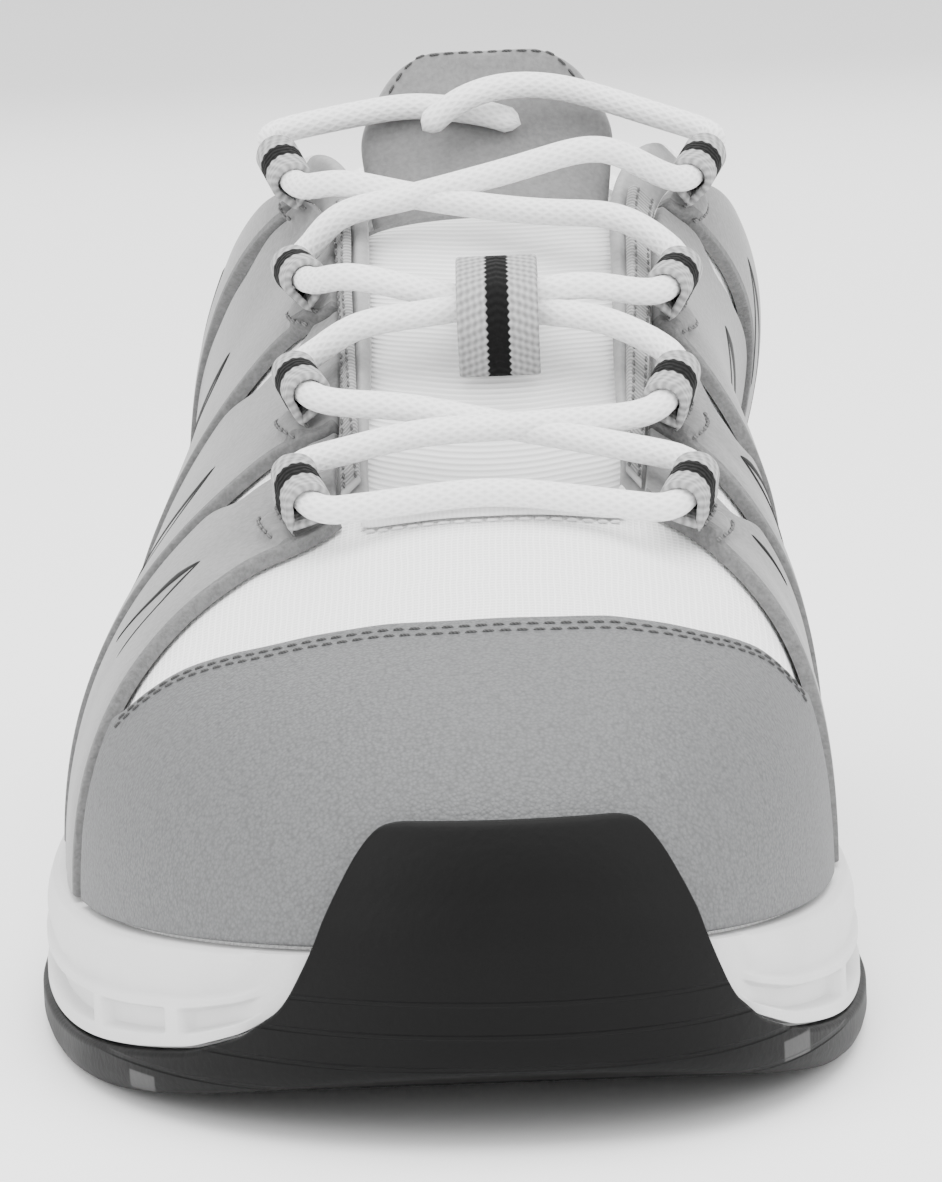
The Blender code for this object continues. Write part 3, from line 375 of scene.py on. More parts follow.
def tread_level(u):
    """Height of the sole's underside over the floor."""
    return np.maximum(sole_ring(u)[..., 0], 0.0)


def rim_level(u):
    """Height of the midsole's upper edge."""
    return sole_ring(u)[..., 2]


def from_toe(u):
    """Distance in stations from the toe tip, the same on both sides."""
    u = np.asarray(u, dtype=float) % round_trip
    return np.minimum(u, round_trip - u)


def side_sign(side):
    """The medial side lies towards +X."""
    return 1.0 if side == "medial" else -1.0


def signed_place(u):
    """Place round the shoe with the lateral side counted backwards from the toe, so that it is negative."""
    return np.where(u > last_row, u - round_trip, u)


def round_shoe(half):
    """Places all the way round, from those between toe and heel on one side."""
    return np.concatenate([half, round_trip - half[-2:0:-1]])


def smooth(share):
    """Eases from 0 to 1 as the share does, level at both ends."""
    share = np.clip(share, 0.0, 1.0)
    return share * share * (3 - 2 * share)


def spoke_points(side):
    """Four control points of each spoke on one side: foot, low handle, high handle and top edge."""
    sign = side_sign(side)
    rows = []
    for number, spoke in enumerate(spokes):
        u = float(number) if side == "medial" else float(round_trip - number)
        normal = np.append(outward(u), 0.0)
        foot = inset_point(u, feather_inset, sole_ring(u)[1] + gap)
        bulge = spoke.bulge_med if side == "medial" else spoke.bulge_lat
        x = throat_shift * spoke.ridge + sign * spoke.rail_side * spoke.across
        top = np.array([x, y_at(spoke.rail_along), instep_height * spoke.rail_height])
        span = (foot - top) * (1, 1, 0)
        tall = np.array([0.0, 0.0, top[2] - foot[2]])
        low = foot + tall * spoke.rise + normal * side_bulge * spoke.flare
        high = top - tall * spoke.drop + span * spoke.reach + normal * side_bulge * bulge
        rows.append(np.concatenate([foot, low, high, top]))
    return rows


spoke_ring = Ring(both_sides(spoke_points("medial"), spoke_points("lateral")), chords)


def last_point(u, v):
    """Point on the upper: spoke u is a cubic Bezier curve, and v runs from the floor to the top edge."""
    u, v = np.broadcast_arrays(np.asarray(u, dtype=float), np.asarray(v, dtype=float))
    handles = spoke_ring(u)
    v = v[..., None]
    foot, low, high, top = (handles[..., i:i + 3] for i in (0, 3, 6, 9))
    return foot * (1 - v) ** 3 + low * 3 * v * (1 - v) ** 2 + high * 3 * v ** 2 * (1 - v) + top * v ** 3


def surface_normal(u, v):
    """Unit vector out of the upper: the cross product of the directions round the shoe and up the spoke."""
    around = last_point(u + 0.01, v) - last_point(u - 0.01, v)
    upward = last_point(u, v + 0.01) - last_point(u, v - 0.01)
    return unit(np.cross(around, upward))


def surface(u, v, lift=0.0):
    """Point a distance outside the upper's outer side, along its normal."""
    u, v, lift = np.broadcast_arrays(*(np.asarray(value, float) for value in (u, v, lift)))
    return last_point(u, v) + surface_normal(u, v) * lift[..., None]


def share_at(u, height):
    """Share of spoke u where it reaches a height: the crossing is found between samples up the spoke."""
    u, height = np.broadcast_arrays(np.asarray(u, float), np.asarray(height, float))
    samples = np.linspace(0.0, 1.0, 121)
    z = np.maximum.accumulate(last_point(u[..., None], samples)[..., 2], axis=-1)
    k = np.clip((z < height[..., None]).sum(axis=-1), 1, 120)[..., None]
    low = np.take_along_axis(z, k - 1, axis=-1)[..., 0]
    high = np.take_along_axis(z, k, axis=-1)[..., 0]
    part = np.clip((height - low) / np.maximum(high - low, 1e-9), 0.0, 1.0)
    return (k[..., 0] - 1 + part) / 120


def grid_quads(rows, columns, wrap=False, first=0):
    """Corner numbers of the quads of a grid, joined from the last column to the first if wrapped."""
    i = np.arange(rows - 1)[:, None]
    j = np.arange(columns if wrap else columns - 1)[None, :]
    k = (j + 1) % columns
    below, above = i * columns, (i + 1) * columns
    return (first + np.stack([below + j, below + k, above + k, above + j], axis=-1)).reshape(-1, 4)


def two_faces(one, other):
    """Points and quads of two grids of the same size."""
    rows, columns = one.shape[:2]
    quads = np.vstack([grid_quads(rows, columns), grid_quads(rows, columns, first=rows * columns)])
    return np.vstack([one.reshape(-1, 3), other.reshape(-1, 3)]), quads


def cross_grid(ring, half, share):
    """Rows straight across a ring round the shoe, from its medial half to its lateral half."""
    medial = ring[:len(half)][:, None]
    lateral = np.concatenate([ring[:1], ring[:len(half) - 1:-1], ring[len(half) - 1:len(half)]])[:, None]
    return medial * (1 - share) + lateral * share


def closed_rings(rings, crosses):
    """Points and quads of rings round the shoe, and of the grids across it that close both ends."""
    rings = np.array(rings)
    points = [rings.reshape(-1, 3)]
    quads = [grid_quads(*rings.shape[:2], wrap=True)]
    for cross in crosses:
        quads.append(grid_quads(*cross.shape[:2], first=sum(len(grid) for grid in points)))
        points.append(cross.reshape(-1, 3))
    return np.vstack(points), np.vstack(quads)


def running_length(path):
    """Length along a path up to each of its points."""
    return np.concatenate([[0.0], np.cumsum(np.linalg.norm(np.diff(path, axis=0), axis=1))])


def show(name, points, quads, node, finishes, uv=None, slots=None, sharp=50.0):
    """Makes the piece: welded, faces outwards, smooth but for sharp corners, standing for its CAD node."""
    mesh = bpy.data.meshes.new(name)
    mesh.from_pydata(np.asarray(points).reshape(-1, 3), [], np.asarray(quads))
    if uv is not None:
        layer = mesh.uv_layers.new(name="UVMap")
        layer.data.foreach_set("uv", np.asarray(uv, dtype=np.float32).ravel())
    for finish in finishes:
        mesh.materials.append(finish.material)
    if slots is not None:
        mesh.polygons.foreach_set("material_index", np.asarray(slots, dtype=np.int32))
    shape = bmesh.new()
    shape.from_mesh(mesh)
    bmesh.ops.remove_doubles(shape, verts=shape.verts, dist=0.000001)
    bmesh.ops.recalc_face_normals(shape, faces=shape.faces)
    shape.to_mesh(mesh)
    shape.free()
    mesh.shade_smooth()
    mesh.set_sharp_from_angle(angle=np.radians(sharp))
    piece = bpy.data.objects.new(name, mesh)
    bpy.context.scene.collection.objects.link(piece)
    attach(piece, "root")
    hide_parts(node)
    return piece


def lengths_uv(grid, wrap=False):
    """Cloth coordinates in metres: distance along the middle row, and distance up each column."""
    if wrap:
        grid = np.concatenate([grid, grid[:, :1]], axis=1)
    middle = grid[len(grid) // 2]
    across = running_length(middle)
    steps = np.linalg.norm(np.diff(grid, axis=0), axis=2)
    up = np.vstack([np.zeros((1, grid.shape[1])), np.cumsum(steps, axis=0)])
    return np.stack([np.broadcast_to(across, up.shape), up], axis=-1)


cap_thickness = 0.0015
overlay_gap = 0.0006
bumper_lift = overlay_gap + cap_thickness + gap * 1.5
bumper_thickness = 0.0028
bumper_height = 0.039
bumper_lean = 0.0013
edge_thickness = 0.0021
plate_thickness = 0.0045
hug_start = 0.0006
hug_span = 0.006
tread_edge = ((0.0026, 0.0), (0.0016, 0.0002), (0.0008, 0.0008), (0.0003, 0.0016), (0.0, 0.0026))
edge_base = 0.0035
edge_round = 0.0009
edge_pull = 0.0012
groove_depth = 0.0025
groove_bend = 0.0045
groove_half = 0.0018
groove_slope = 0.0006
groove_ends = (0.10, 0.90)
groove_fade = 0.02
knee_rise = 0.0005
bumper_rise = np.array([
    (0.00, 1.00), (0.64, 1.00), (0.76, 0.95), (0.95, 0.66), (1.12, 0.42), (1.35, 0.18), (1.75, 0.05),
    (2.25, 0.00),
])
corner_reach = 0.09


def eased_rise(place):
    """The bumper's edge curve, rounded at its corners: an average of the table over a short way."""
    spread = np.linspace(-corner_reach, corner_reach, 7)
    return np.mean([np.interp(np.abs(place + s), *bumper_rise.T) for s in spread], axis=0)


def edge_top(u):
    """Height of the rubber's upper edge, which rises to the bumper at the toe."""
    low = tread_level(u) + sole_ring(u)[..., 3]
    return low + (bumper_height - low) * eased_rise(from_toe(u))


def edge_inset(u, height):
    """Inner side of the rubber edge: plumb along the shoe, leaning in behind the bumper."""
    inside = tread_level(u) + plate_thickness
    share = np.clip((height - inside) / (rim_level(u) - inside), 0.0, 1.0)
    return edge_thickness + bumper_lean * share * smooth((1.35 - from_toe(u)) / 0.4)


def bumper_point(u, height, lift, inset):
    """Side of the outsole: a given inset up to the rim, then laid on the toe cap."""
    low = inset_point(u, inset, height)
    hugging = surface(u, share_at(u, height), lift)
    share = smooth((height - rim_level(u) - hug_start) / hug_span)[..., None]
    return low * (1 - share) + hugging * share


tread_grooves = np.array([0.150, 0.215, 0.280, 0.385, 0.450, 0.770, 0.905])


def lugged(cross, share):
    """Tread with grooves cut up into it: each bends forward in the middle and stops short of the edge."""
    along = cross[..., 1] / shoe_length + 0.5
    bend = groove_bend / shoe_length * (1 - np.abs(2 * share - 1))
    near = np.abs(along[..., None] - bend[..., None] - tread_grooves).min(axis=-1) * shoe_length
    inside = smooth((share - groove_ends[0]) / groove_fade) * smooth((groove_ends[1] - share) / groove_fade)
    cross[..., 2] += groove_depth * smooth((groove_half - near) / groove_slope) * inside
    return cross


def make_outsole(finish):
    """Rings up the outside, over the edge and down the inside, closed underneath by a grid with lugs."""
    half = np.concatenate([np.linspace(0, 3, 100, endpoint=False), np.linspace(3, 15, 180)])
    u = round_shoe(half)
    tread, top = tread_level(u), edge_top(u)
    outer = bumper_lift + bumper_thickness
    rings = [inset_point(u, inset, tread + rise) for inset, rise in tread_edge]
    base = tread + edge_base
    knee = np.minimum(rim_level(u) + knee_rise, (base + top) / 2)
    for share in np.linspace(0.0, 1.0, 12):
        rings.append(bumper_point(u, base + (knee - base) * share, outer, 0.0))
    for share in np.linspace(0.0, 1.0, 30)[1:]:
        rings.append(bumper_point(u, knee + (top - edge_round - knee) * share, outer, 0.0))
    for turn in np.radians([30, 60, 90]):
        level = top - edge_round + edge_round * np.sin(turn)
        pull = edge_pull * (1 - np.cos(turn))
        rings.append(bumper_point(u, level, outer - pull, pull))
    for share in np.linspace(1.0, 0.0, 10):
        level = knee + (top - knee) * share
        rings.append(bumper_point(u, level, bumper_lift, edge_inset(u, level)))
    rings.append(inset_point(u, edge_thickness, tread + plate_thickness))
    share = smooth(np.linspace(0, 1, 61))[None, :, None]
    tread_side = lugged(cross_grid(rings[0], half, share), share[..., 0])
    points, quads = closed_rings(rings, [tread_side, cross_grid(rings[-1], half, share)])
    show("outsole_rubber_moulding", points, quads, "outsole", [finish], sharp=60.0)


# Light square plugs are let into the side at both front corners: the middle of each in metres, and how far
# from it the colour ends and is full along each axis.
rubber_plugs = [(-0.0385, -0.1205, 0.0042), (0.0455, -0.1290, 0.0078)]
plug_reach = {"X": (0.0019, 0.0016), "Y": (0.0045, 0.0040), "Z": (0.0015, 0.0012)}
rubber = Finish("black_rubber", 0.5, Specular_IOR_Level=0.12)
height = rubber.place.part("Z")
grain = rubber.place.noise(900.0, 3.0)
smear = rubber.place.noise(38.0, 3.0)
ribs = (height + rubber.place.noise(9.0) * 0.0015).wave(0.0042).between(0.0, 0.10)
low_half = height.between(0.0215, 0.0185) * height.between(0.0035, 0.0050)
front = rubber.place.part("Y").between(-0.105, -0.120)
rib_relief = 1.0 - (1.0 - ribs) * low_half * front
plugs = 0.0
for middle in rubber_plugs:
    near_x, near_y, near_z = (
        (rubber.place.part(axis) - centre).math("ABSOLUTE").between(*plug_reach[axis])
        for axis, centre in zip("XYZ", middle)
    )
    plugs = plugs + near_x * near_y * near_z
black = smear.between(0.35, 0.75).paint(grey(0.012), grey(0.028))
rubber.set("Base Color", plugs.paint_over(black, grey(0.26)))
rubber.set("Roughness", smear * 0.25 + 0.42)
rubber.bump(rib_relief * 0.8 + grain * 0.2, 0.00035)
make_outsole(rubber)

# Midsole
# A white foam cup, moulded in one piece. Its side has a lower flange, a recessed band cut into panels, a soft
# ledge and a plain upper wall. The upper is cemented into it.
panel_ends = np.array([-6.9, -3.45, -2.45, 3.45, 7.2, 15.0])
panel_gap = 0.0022
panel_recess = 0.0019
flange_inset = 0.0008
wall_hollow = 0.0006
cup_inset = 0.006
ledge_room = 0.0030
cover_start = 0.0065
cover_span = 0.0020
WallStep = namedtuple("WallStep", "start span inset")
panel_edges = [
    WallStep(0.125, 0.045, 1.0),
    WallStep(0.345, 0.055, -1.0),
]
wall_steps = [
    WallStep(0.360, 0.05, 0.0001),
    WallStep(0.460, 0.07, 0.0008),
    WallStep(0.620, 0.36, 0.0005),
    WallStep(0.955, 0.04, 0.0010),
]


def panel_depth(u):
    """Recess depth round the shoe: full along each panel, none for a short way at each panel's end."""
    metres = np.interp(from_toe(u), (0.0, 4.0, 15.0), (0.011, 0.020, 0.022))
    near = np.abs(signed_place(u)[:, None] - panel_ends).min(axis=1) * metres
    return smooth((near - panel_gap / 2) / 0.0012)


def stepped(share, steps):
    """Sum of the steps that a height share has passed, each eased over its span."""
    return sum(one.inset * smooth((share - one.start) / one.span) for one in steps)


def make_midsole(finish):
    """Side rings whose inset eases from one step of the moulded profile to the next, then the inner cup."""
    half = np.concatenate([np.linspace(0, 5, 160, endpoint=False), np.linspace(5, 15, 150)])
    u = round_shoe(half)
    tread, rim, top = tread_level(u), rim_level(u), edge_top(u)
    step = np.minimum(top + gap, rim - ledge_room)
    hidden = smooth((top - tread - cover_start) / cover_span)
    shares = np.concatenate([np.linspace(0.01, 0.60, 60), np.linspace(0.62, 0.96, 14), [0.975, 0.985, 0.992]])
    rings = [inset_point(u, cup_inset, tread + plate_thickness + gap)]
    rings.append(inset_point(u, edge_thickness + gap, tread + plate_thickness + gap))
    rings.append(inset_point(u, edge_inset(u, step) + gap, step))
    deep = panel_depth(u)
    for share in shares:
        inset = flange_inset + panel_recess * stepped(share, panel_edges) * deep + stepped(share, wall_steps)
        inset -= wall_hollow * np.sin(np.pi * np.clip((share - 0.53) / 0.45, 0.0, 1.0))
        level = step + (rim - step) * share
        covered = edge_inset(u, level) + gap
        rings.append(inset_point(u, inset * (1 - hidden) + covered * hidden, level))
    floor = sole_ring(u)[..., 1]
    for share in (1.0, 0.66, 0.33):
        rings.append(surface(u, share_at(u, floor + (rim - floor) * share), gap))
    foot = surface(u, 0.0, gap)
    foot[:, 2] = floor
    rings.append(foot)
    share = np.linspace(0, 1, 9)[None, :, None]
    points, quads = closed_rings(rings, [cross_grid(ring, half, share) for ring in (rings[0], rings[-1])])
    show("midsole_foam_cup", points, quads, "midsole", [finish], sharp=55.0)


foam = Finish("white_foam", 0.55)
scuff = foam.place.noise(30.0, 4.0)
foam.set("Base Color", scuff.between(0.30, 0.75).paint(grey(0.80), grey(0.76)))
foam.set("Roughness", scuff * 0.2 + 0.45)
foam.bump(foam.place.noise(1400.0, 2.0), 0.00006)
make_midsole(foam)

# Insole
# A loose footbed of dark knit over foam, cut to the floor of the last and dished a little under the heel.
insole_thickness = 0.0042
insole_dish = 0.0007
upper_wall = 0.0022
collar_wall = 0.0065


def make_insole(finish):
    """Rim from the cup's floor to the top face, then a face whose height dips smoothly towards its middle."""
    half = np.linspace(0, 15, 160)
    u = round_shoe(half)
    clear = upper_wall + 2 * gap
    level = sole_ring(u)[..., 1] + gap
    low = surface(u, 0.0, -clear)
    low[:, 2] = level
    high = surface(u, share_at(u, level + insole_thickness), -clear)
    high[:, 2] = level + insole_thickness
    share = np.linspace(0, 1, 41)[None, :, None]
    face = cross_grid(high, half, share)
    face[..., 2] -= insole_dish * (4 * share[..., 0] * (1 - share[..., 0])) ** 0.5
    rings = [low, low * 0.15 + high * 0.85, high]
    points, quads = closed_rings(rings, [cross_grid(low, half, share), face])
    show("insole_footbed", points, quads, "insole", [finish])


knit = Finish("dark_footbed_knit", 0.9)
courses = knit.place.part("Y").wave(0.0011) * 0.6 + knit.place.part("X").wave(0.0013) * 0.4
knit.weave(courses, 0.20, 0.30, 0.0002)
make_insole(knit)

# Upper
# One shell of white checked textile over thin foam, lasted and cemented into the cup. Its collar is padded,
# lined with grey mesh, and turned over at the top edge.
bound_reach = (3.9, 8.9)
shell_columns = 480
shell_rings = 70
bound_rows = (shell_rings - 6, shell_rings + 7)
collar_roundness = 0.42
Crease = namedtuple("Crease", "u reach_u low high depth")
creases = [
    Crease(-4.75, 0.16, 0.30, 0.80, 0.00045),
    Crease(-6.15, 0.22, 0.32, 0.78, 0.00035),
    Crease(-7.80, 0.30, 0.30, 0.76, 0.00035),
    Crease(4.90, 0.18, 0.30, 0.78, 0.00045),
    Crease(6.00, 0.22, 0.34, 0.76, 0.00035),
    Crease(1.35, 0.30, 0.70, 0.92, 0.00025),
    Crease(-1.55, 0.30, 0.70, 0.92, 0.00025),
]


def wall_at(u, v):
    """Thickness of the upper, which grows into the padded collar."""
    padded = smooth((from_toe(u) - 8.2) / 1.6)
    return upper_wall + (collar_wall - upper_wall) * padded * smooth((v - 0.45) / 0.35)


def crease_depth(u, v):
    """Sum of the creases: each is a bell across its place on the spokes, faded out at both ends."""
    signed = signed_place(u)
    total = np.zeros(np.broadcast(u, v).shape)
    for crease in creases:
        bell = np.exp(-((signed - crease.u) / crease.reach_u) ** 2)
        along = smooth((v - crease.low) / 0.15) * smooth((crease.high - v) / 0.15)
        total = total + crease.depth * bell * along
    return total


def make_upper(outside, lining, binding):
    """Outer rings up to the top edge, a half-round turn over the wall's thickness, and inner rings down."""
    u = np.arange(shell_columns) * round_trip / shell_columns
    outer = np.linspace(0.0, 1.0, shell_rings)
    rings = [surface(u, v, -crease_depth(u, v)) for v in outer]
    along = unit(surface(u, 1.0) - surface(u, 0.97))
    normal = surface_normal(u, np.ones_like(u))
    wall = wall_at(u, 1.0)[:, None]
    middle = surface(u, 1.0) - normal * wall / 2
    for turn in np.radians(np.arange(15, 180, 15)):
        lean = normal * np.cos(turn) * wall / 2
        rings.append(middle + lean + along * np.sin(turn) * wall * collar_roundness)
    for v in outer[::-2]:
        rings.append(surface(u, v, -wall_at(u, v)))
    rings.append(rings[0])
    rings = np.array(rings)
    uv = lengths_uv(rings, wrap=True)
    rows = np.arange(len(rings) - 1)
    beside = (from_toe(u) > bound_reach[0]) & (from_toe(u) < bound_reach[1])
    bound = ((rows >= bound_rows[0]) & (rows < bound_rows[1]))[:, None] & beside[None, :]
    slots = np.where(bound, 2, (rows >= bound_rows[1]).astype(int)[:, None]).ravel()
    show("upper_textile_shell", rings, grid_quads(len(rings), len(u), wrap=True), "upper",
         [outside, lining, binding], uv=loop_uv(uv), slots=slots, sharp=60.0)


def loop_uv(uv):
    """Cloth coordinates of each quad's four corners, in the order that grid_quads gives them."""
    return np.stack([uv[:-1, :-1], uv[:-1, 1:], uv[1:, 1:], uv[1:, :-1]], axis=2)


checked = Finish("white_checked_textile", 0.8)
slope = checked.place.part("Y") * 0.8 + checked.place.part("Z") * 0.6
wobble = checked.place.noise(160.0) * 0.0006
ribs_across = (checked.place.part("X") + wobble).wave(0.00085).between(0.55, 0.95)
ribs_along = (slope + wobble).wave(0.00085).between(0.40, 0.90)
check = ribs_across.math("MAXIMUM", ribs_along)
fine = checked.place.part("X").wave(0.00030) * slope.wave(0.00030)
soft = checked.place.noise(22.0, 3.0)
checked.set("Base Color", check.paint(grey(0.90), grey(0.975)))
checked.set("Roughness", soft * 0.15 + 0.70)
checked.bump(check * 0.75 + fine * 0.25, 0.00011)

mesh_lining = Finish("grey_lining_mesh", 0.85)
cells = mesh_lining.cloth.part("X").wave(0.0016) * mesh_lining.cloth.part("Y").wave(0.0016)
mesh_lining.weave(cells, 0.62, 0.74, 0.0003)

bound_edge = Finish("grey_edge_binding", 0.85)
edge_weft = bound_edge.place.noise(900.0)
bound_edge.weave(edge_weft, 0.52, 0.62, 0.00015)
make_upper(checked, mesh_lining, bound_edge)

# Toe cap
# A grey overlay of pebbled microfibre, welded round the toe and held along its top edge by two rows of
# stitching.
cap_edge = np.array([
    (0.0, 0.65), (1.0, 0.64), (2.0, 0.61), (3.0, 0.56), (3.5, 0.50), (4.0, 0.38), (4.2, 0.32),
])
cap_seam_insets = (0.024, 0.040)
rim_clear = 0.0005
sheet_rim = 0.0006


def overlay_foot(u):
    """Share of the spoke where the overlays start, just above the midsole's rim."""
    return share_at(u, rim_level(u) + rim_clear)


def edge_lines(count, total, rim):
    """Shares from 0 to 1 with extra lines within a rim of both ends, for rounded edges."""
    close = np.array([0.0, 0.05, 0.17, 0.38, 0.66]) * rim / total
    return np.concatenate([close, np.linspace(rim / total, 1 - rim / total, count), 1 - close[::-1]])


def border_distance(grid):
    """Distance of each grid point from the grid's nearest border, measured along its rows and columns."""
    across = np.cumsum(np.linalg.norm(np.diff(grid, axis=1, prepend=grid[:, :1]), axis=2), axis=1)
    upward = np.cumsum(np.linalg.norm(np.diff(grid, axis=0, prepend=grid[:1]), axis=2), axis=0)
    return np.minimum.reduce([across, across[:, -1:] - across, upward, upward[-1:] - upward])


def quarter_round(distance, rim):
    """Height share of a rounded edge: a quarter circle over the rim, then level."""
    return np.sqrt(1 - (1 - np.clip(distance / rim, 0.0, 1.0)) ** 2)


def make_sheet(name, node, finishes, u, v, thickness, rim=sheet_rim, slots=None):
    """Closed sheet on the upper: the underside, and a top side whose edges are rounded down to it."""
    under = surface(u, v, overlay_gap)
    lift = thickness * quarter_round(border_distance(under), rim)
    over = surface(u, v, overlay_gap + lift)
    points, quads = two_faces(under, over)
    uv = loop_uv(lengths_uv(under)).reshape(-1, 2)
    if slots is not None:
        slots = np.concatenate([slots.ravel(), slots.ravel()])
    show(name, points, quads, node, finishes, uv=np.concatenate([uv, uv]), slots=slots, sharp=70.0)


def resampled(path, step, extra=()):
    """Path with points a fixed length apart, and any further arrays taken at the same places."""
    length = running_length(path)
    places = np.arange(step / 2, length[-1], step)
    return [np.stack([np.interp(places, length, row) for row in rows.T], axis=1) for rows in (path, *extra)]


stitch_rings = 7
stitch_sides = 6
stitch_rise = 0.35


def make_stitches(name, node, finish, seams, pitch=0.0022, length=0.0017, radius=0.00022):
    """Joined stitches along seams of points and normals: each is a short lens of thread, sunk by a third."""
    made = []
    for path, normals in seams:
        place, up = resampled(path, pitch, (normals,))
        along = unit(np.gradient(place, axis=0))
        side = unit(np.cross(along, up))
        up = np.cross(side, along)
        reach = np.linspace(-1.0, 1.0, stitch_rings)
        girth = np.sqrt(1 - reach ** 4)
        turn = np.linspace(0.0, 2 * np.pi, stitch_sides, endpoint=False)[:, None]
        ring = side[:, None, None] * np.cos(turn) + up[:, None, None] * (np.sin(turn) + stitch_rise)
        made.append(
            place[:, None, None]
            + along[:, None, None] * (reach * length / 2)[None, :, None, None]
            + ring * (girth * radius)[None, :, None, None]
        )
    points = np.concatenate(made)
    starts = np.arange(len(points))[:, None, None] * stitch_rings * stitch_sides
    quads = (grid_quads(stitch_rings, stitch_sides, wrap=True)[None] + starts).reshape(-1, 4)
    show(name, points, quads, node, [finish])


def seam_on(u, v, lift):
    """Points and normals of a seam that follows places on the upper, a distance above it."""
    u, v = np.broadcast_arrays(np.asarray(u, float), np.asarray(v, float))
    return surface(u, v, lift), surface_normal(u, v)


pebbled = Finish("grey_pebbled_microfibre", 0.62)
grain = pebbled.place.node("TexVoronoi", {"feature": "F1"}, Vector=pebbled.place, Scale=2000.0)
fleck = pebbled.place.noise(1500.0, 2.0)
tone = pebbled.place.noise(24.0, 3.0)
speckle = (grain * 0.5 + fleck * 0.5).between(0.2, 0.8)
pebbled.set("Base Color", speckle.paint(grey(0.38, 0.02), grey(0.30, 0.02)))
pebbled.set("Roughness", tone * 0.2 + 0.52)
pebbled.bump(grain * -0.6 + fleck * 0.4, 0.00022)


def make_thread(name, roughness, low, high):
    """Twisted thread between two greys."""
    made = Finish(name, roughness)
    twist = (made.place.part("X") + made.place.part("Z")).wave(0.0005)
    made.weave(twist, low, high, 0.00006)
    return made


thread = make_thread("dark_grey_thread", 0.7, 0.16, 0.24)
pale_thread = make_thread("light_grey_thread", 0.75, 0.30, 0.42)

cap_reach = cap_edge[-1, 0]
cap_rim = cap_reach - np.array([0.01, 0.005, 0.002, 0.0005, 0.0])
cap_u = np.concatenate([-cap_rim[::-1], np.linspace(-cap_reach, cap_reach, 260)[1:-1], cap_rim])
cap_low = overlay_foot(cap_u)
cap_top = np.interp(np.abs(cap_u), *cap_edge.T)
cap_top = np.convolve(np.pad(cap_top, 6, mode="edge"), np.ones(13) / 13, mode="valid")
cap_share = edge_lines(54, 0.045, sheet_rim)[:, None]
cap_v = cap_low + (cap_top - cap_low) * cap_share
cap_grid = np.broadcast_to(cap_u, cap_v.shape)
make_sheet("toe_cap_overlay", "toe_cap", [pebbled], cap_grid, cap_v, cap_thickness)
cap_lift = overlay_gap + cap_thickness
cap_seams = [seam_on(cap_u[8:-8], cap_top[8:-8] - inset, cap_lift) for inset in cap_seam_insets]
make_stitches("toe_cap_stitches", "toe_cap", thread, cap_seams)

# Quarter bands
# Four diagonal bands a side, cut from thick grey microfibre with a dark felt core that shows along each front
# edge. They are welded to the textile, and each holds the tails of one lace loop under a stitched oval.
band_thickness = 0.0018
band_rear = 0.0011
band_levels = np.array([0.93, 0.87, 0.74, 0.58, 0.38, 0.15])
Band = namedtuple("Band", "side number top throat shoulder middle low foot")
bands = [
    Band("lateral", 1, 3.56, 3.75, 4.15, 4.28, 4.30, 4.32),
    Band("lateral", 2, 5.10, 5.28, 5.60, 5.68, 5.75, 5.80),
    Band("lateral", 3, 6.65, 6.85, 7.22, 7.33, 7.38, 7.45),
    Band("lateral", 4, 8.25, 8.55, 9.10, 9.50, 9.80, 10.00),
    Band("medial", 1, 3.86, 4.02, 4.27, 4.36, 4.46, 4.50),
    Band("medial", 2, 5.02, 5.13, 5.22, 5.22, 5.30, 5.40),
    Band("medial", 3, 6.30, 6.32, 6.22, 6.15, 6.30, 6.45),
    Band("medial", 4, 7.92, 8.10, 8.45, 9.10, 9.45, 9.70),
]
counter_place = 12.1
counter_reach = 0.60
quarter_reach = 0.88
window = 0.25
window_low = 0.56
window_high = 0.86
window_ease = 0.12
band_split = 0.025
corner_spread = 0.05

Loop = namedtuple("Loop", "side number place reach")
loops = [
    Loop("lateral", 1, 8.41, 0.965),
    Loop("lateral", 2, 7.09, 0.893),
    Loop("lateral", 3, 5.63, 0.873),
    Loop("lateral", 4, 4.21, 0.860),
    Loop("medial", 1, 8.31, 0.936),
    Loop("medial", 2, 6.53, 0.937),
    Loop("medial", 3, 5.26, 0.909),
    Loop("medial", 4, 4.24, 0.811),
]
webbing_thickness = 0.0011
loop_width = 0.0102
loop_slant = 0.30
lace_diameter = 0.0039
lace_clearance = 0.0008


def loop_frame(loop):
    """Where a loop stands: its foot on the band, and unit vectors along the throat, outboard and up."""
    u = side_sign(loop.side) * loop.place
    foot = surface(u, loop.reach, overlay_gap + band_thickness + 2 * gap)
    up = surface_normal(u, loop.reach)
    outboard = np.array([np.sign(u), -loop_slant, 0.0])
    outboard = unit(outboard - up * np.dot(outboard, up))
    return foot, np.cross(up, outboard), outboard, up


def band_front(band, v):
    """Place of a band's front edge at each share of the spoke, eased over a short way round its corners."""
    places = np.array([band.top, band.throat, band.shoulder, band.middle, band.low, band.foot])
    spread = np.linspace(-corner_spread, corner_spread, 7)
    return np.mean([np.interp(v + s, band_levels[::-1], places[::-1]) for s in spread], axis=0)


oval_out = 0.0044
oval_half = (0.0044, 0.0024)
oval_height = 0.0013


def oval_rise(points, loop):
    """Height that the loop's tails lift the band by: a low dome outboard of the loop, level in its middle."""
    foot, along, outboard, _ = loop_frame(loop)
    way = points - foot
    radius = np.sqrt(((way @ along) / oval_half[0]) ** 2 + ((way @ outboard - oval_out) / oval_half[1]) ** 2)
    return oval_height * smooth((1.25 - radius) / 0.5)


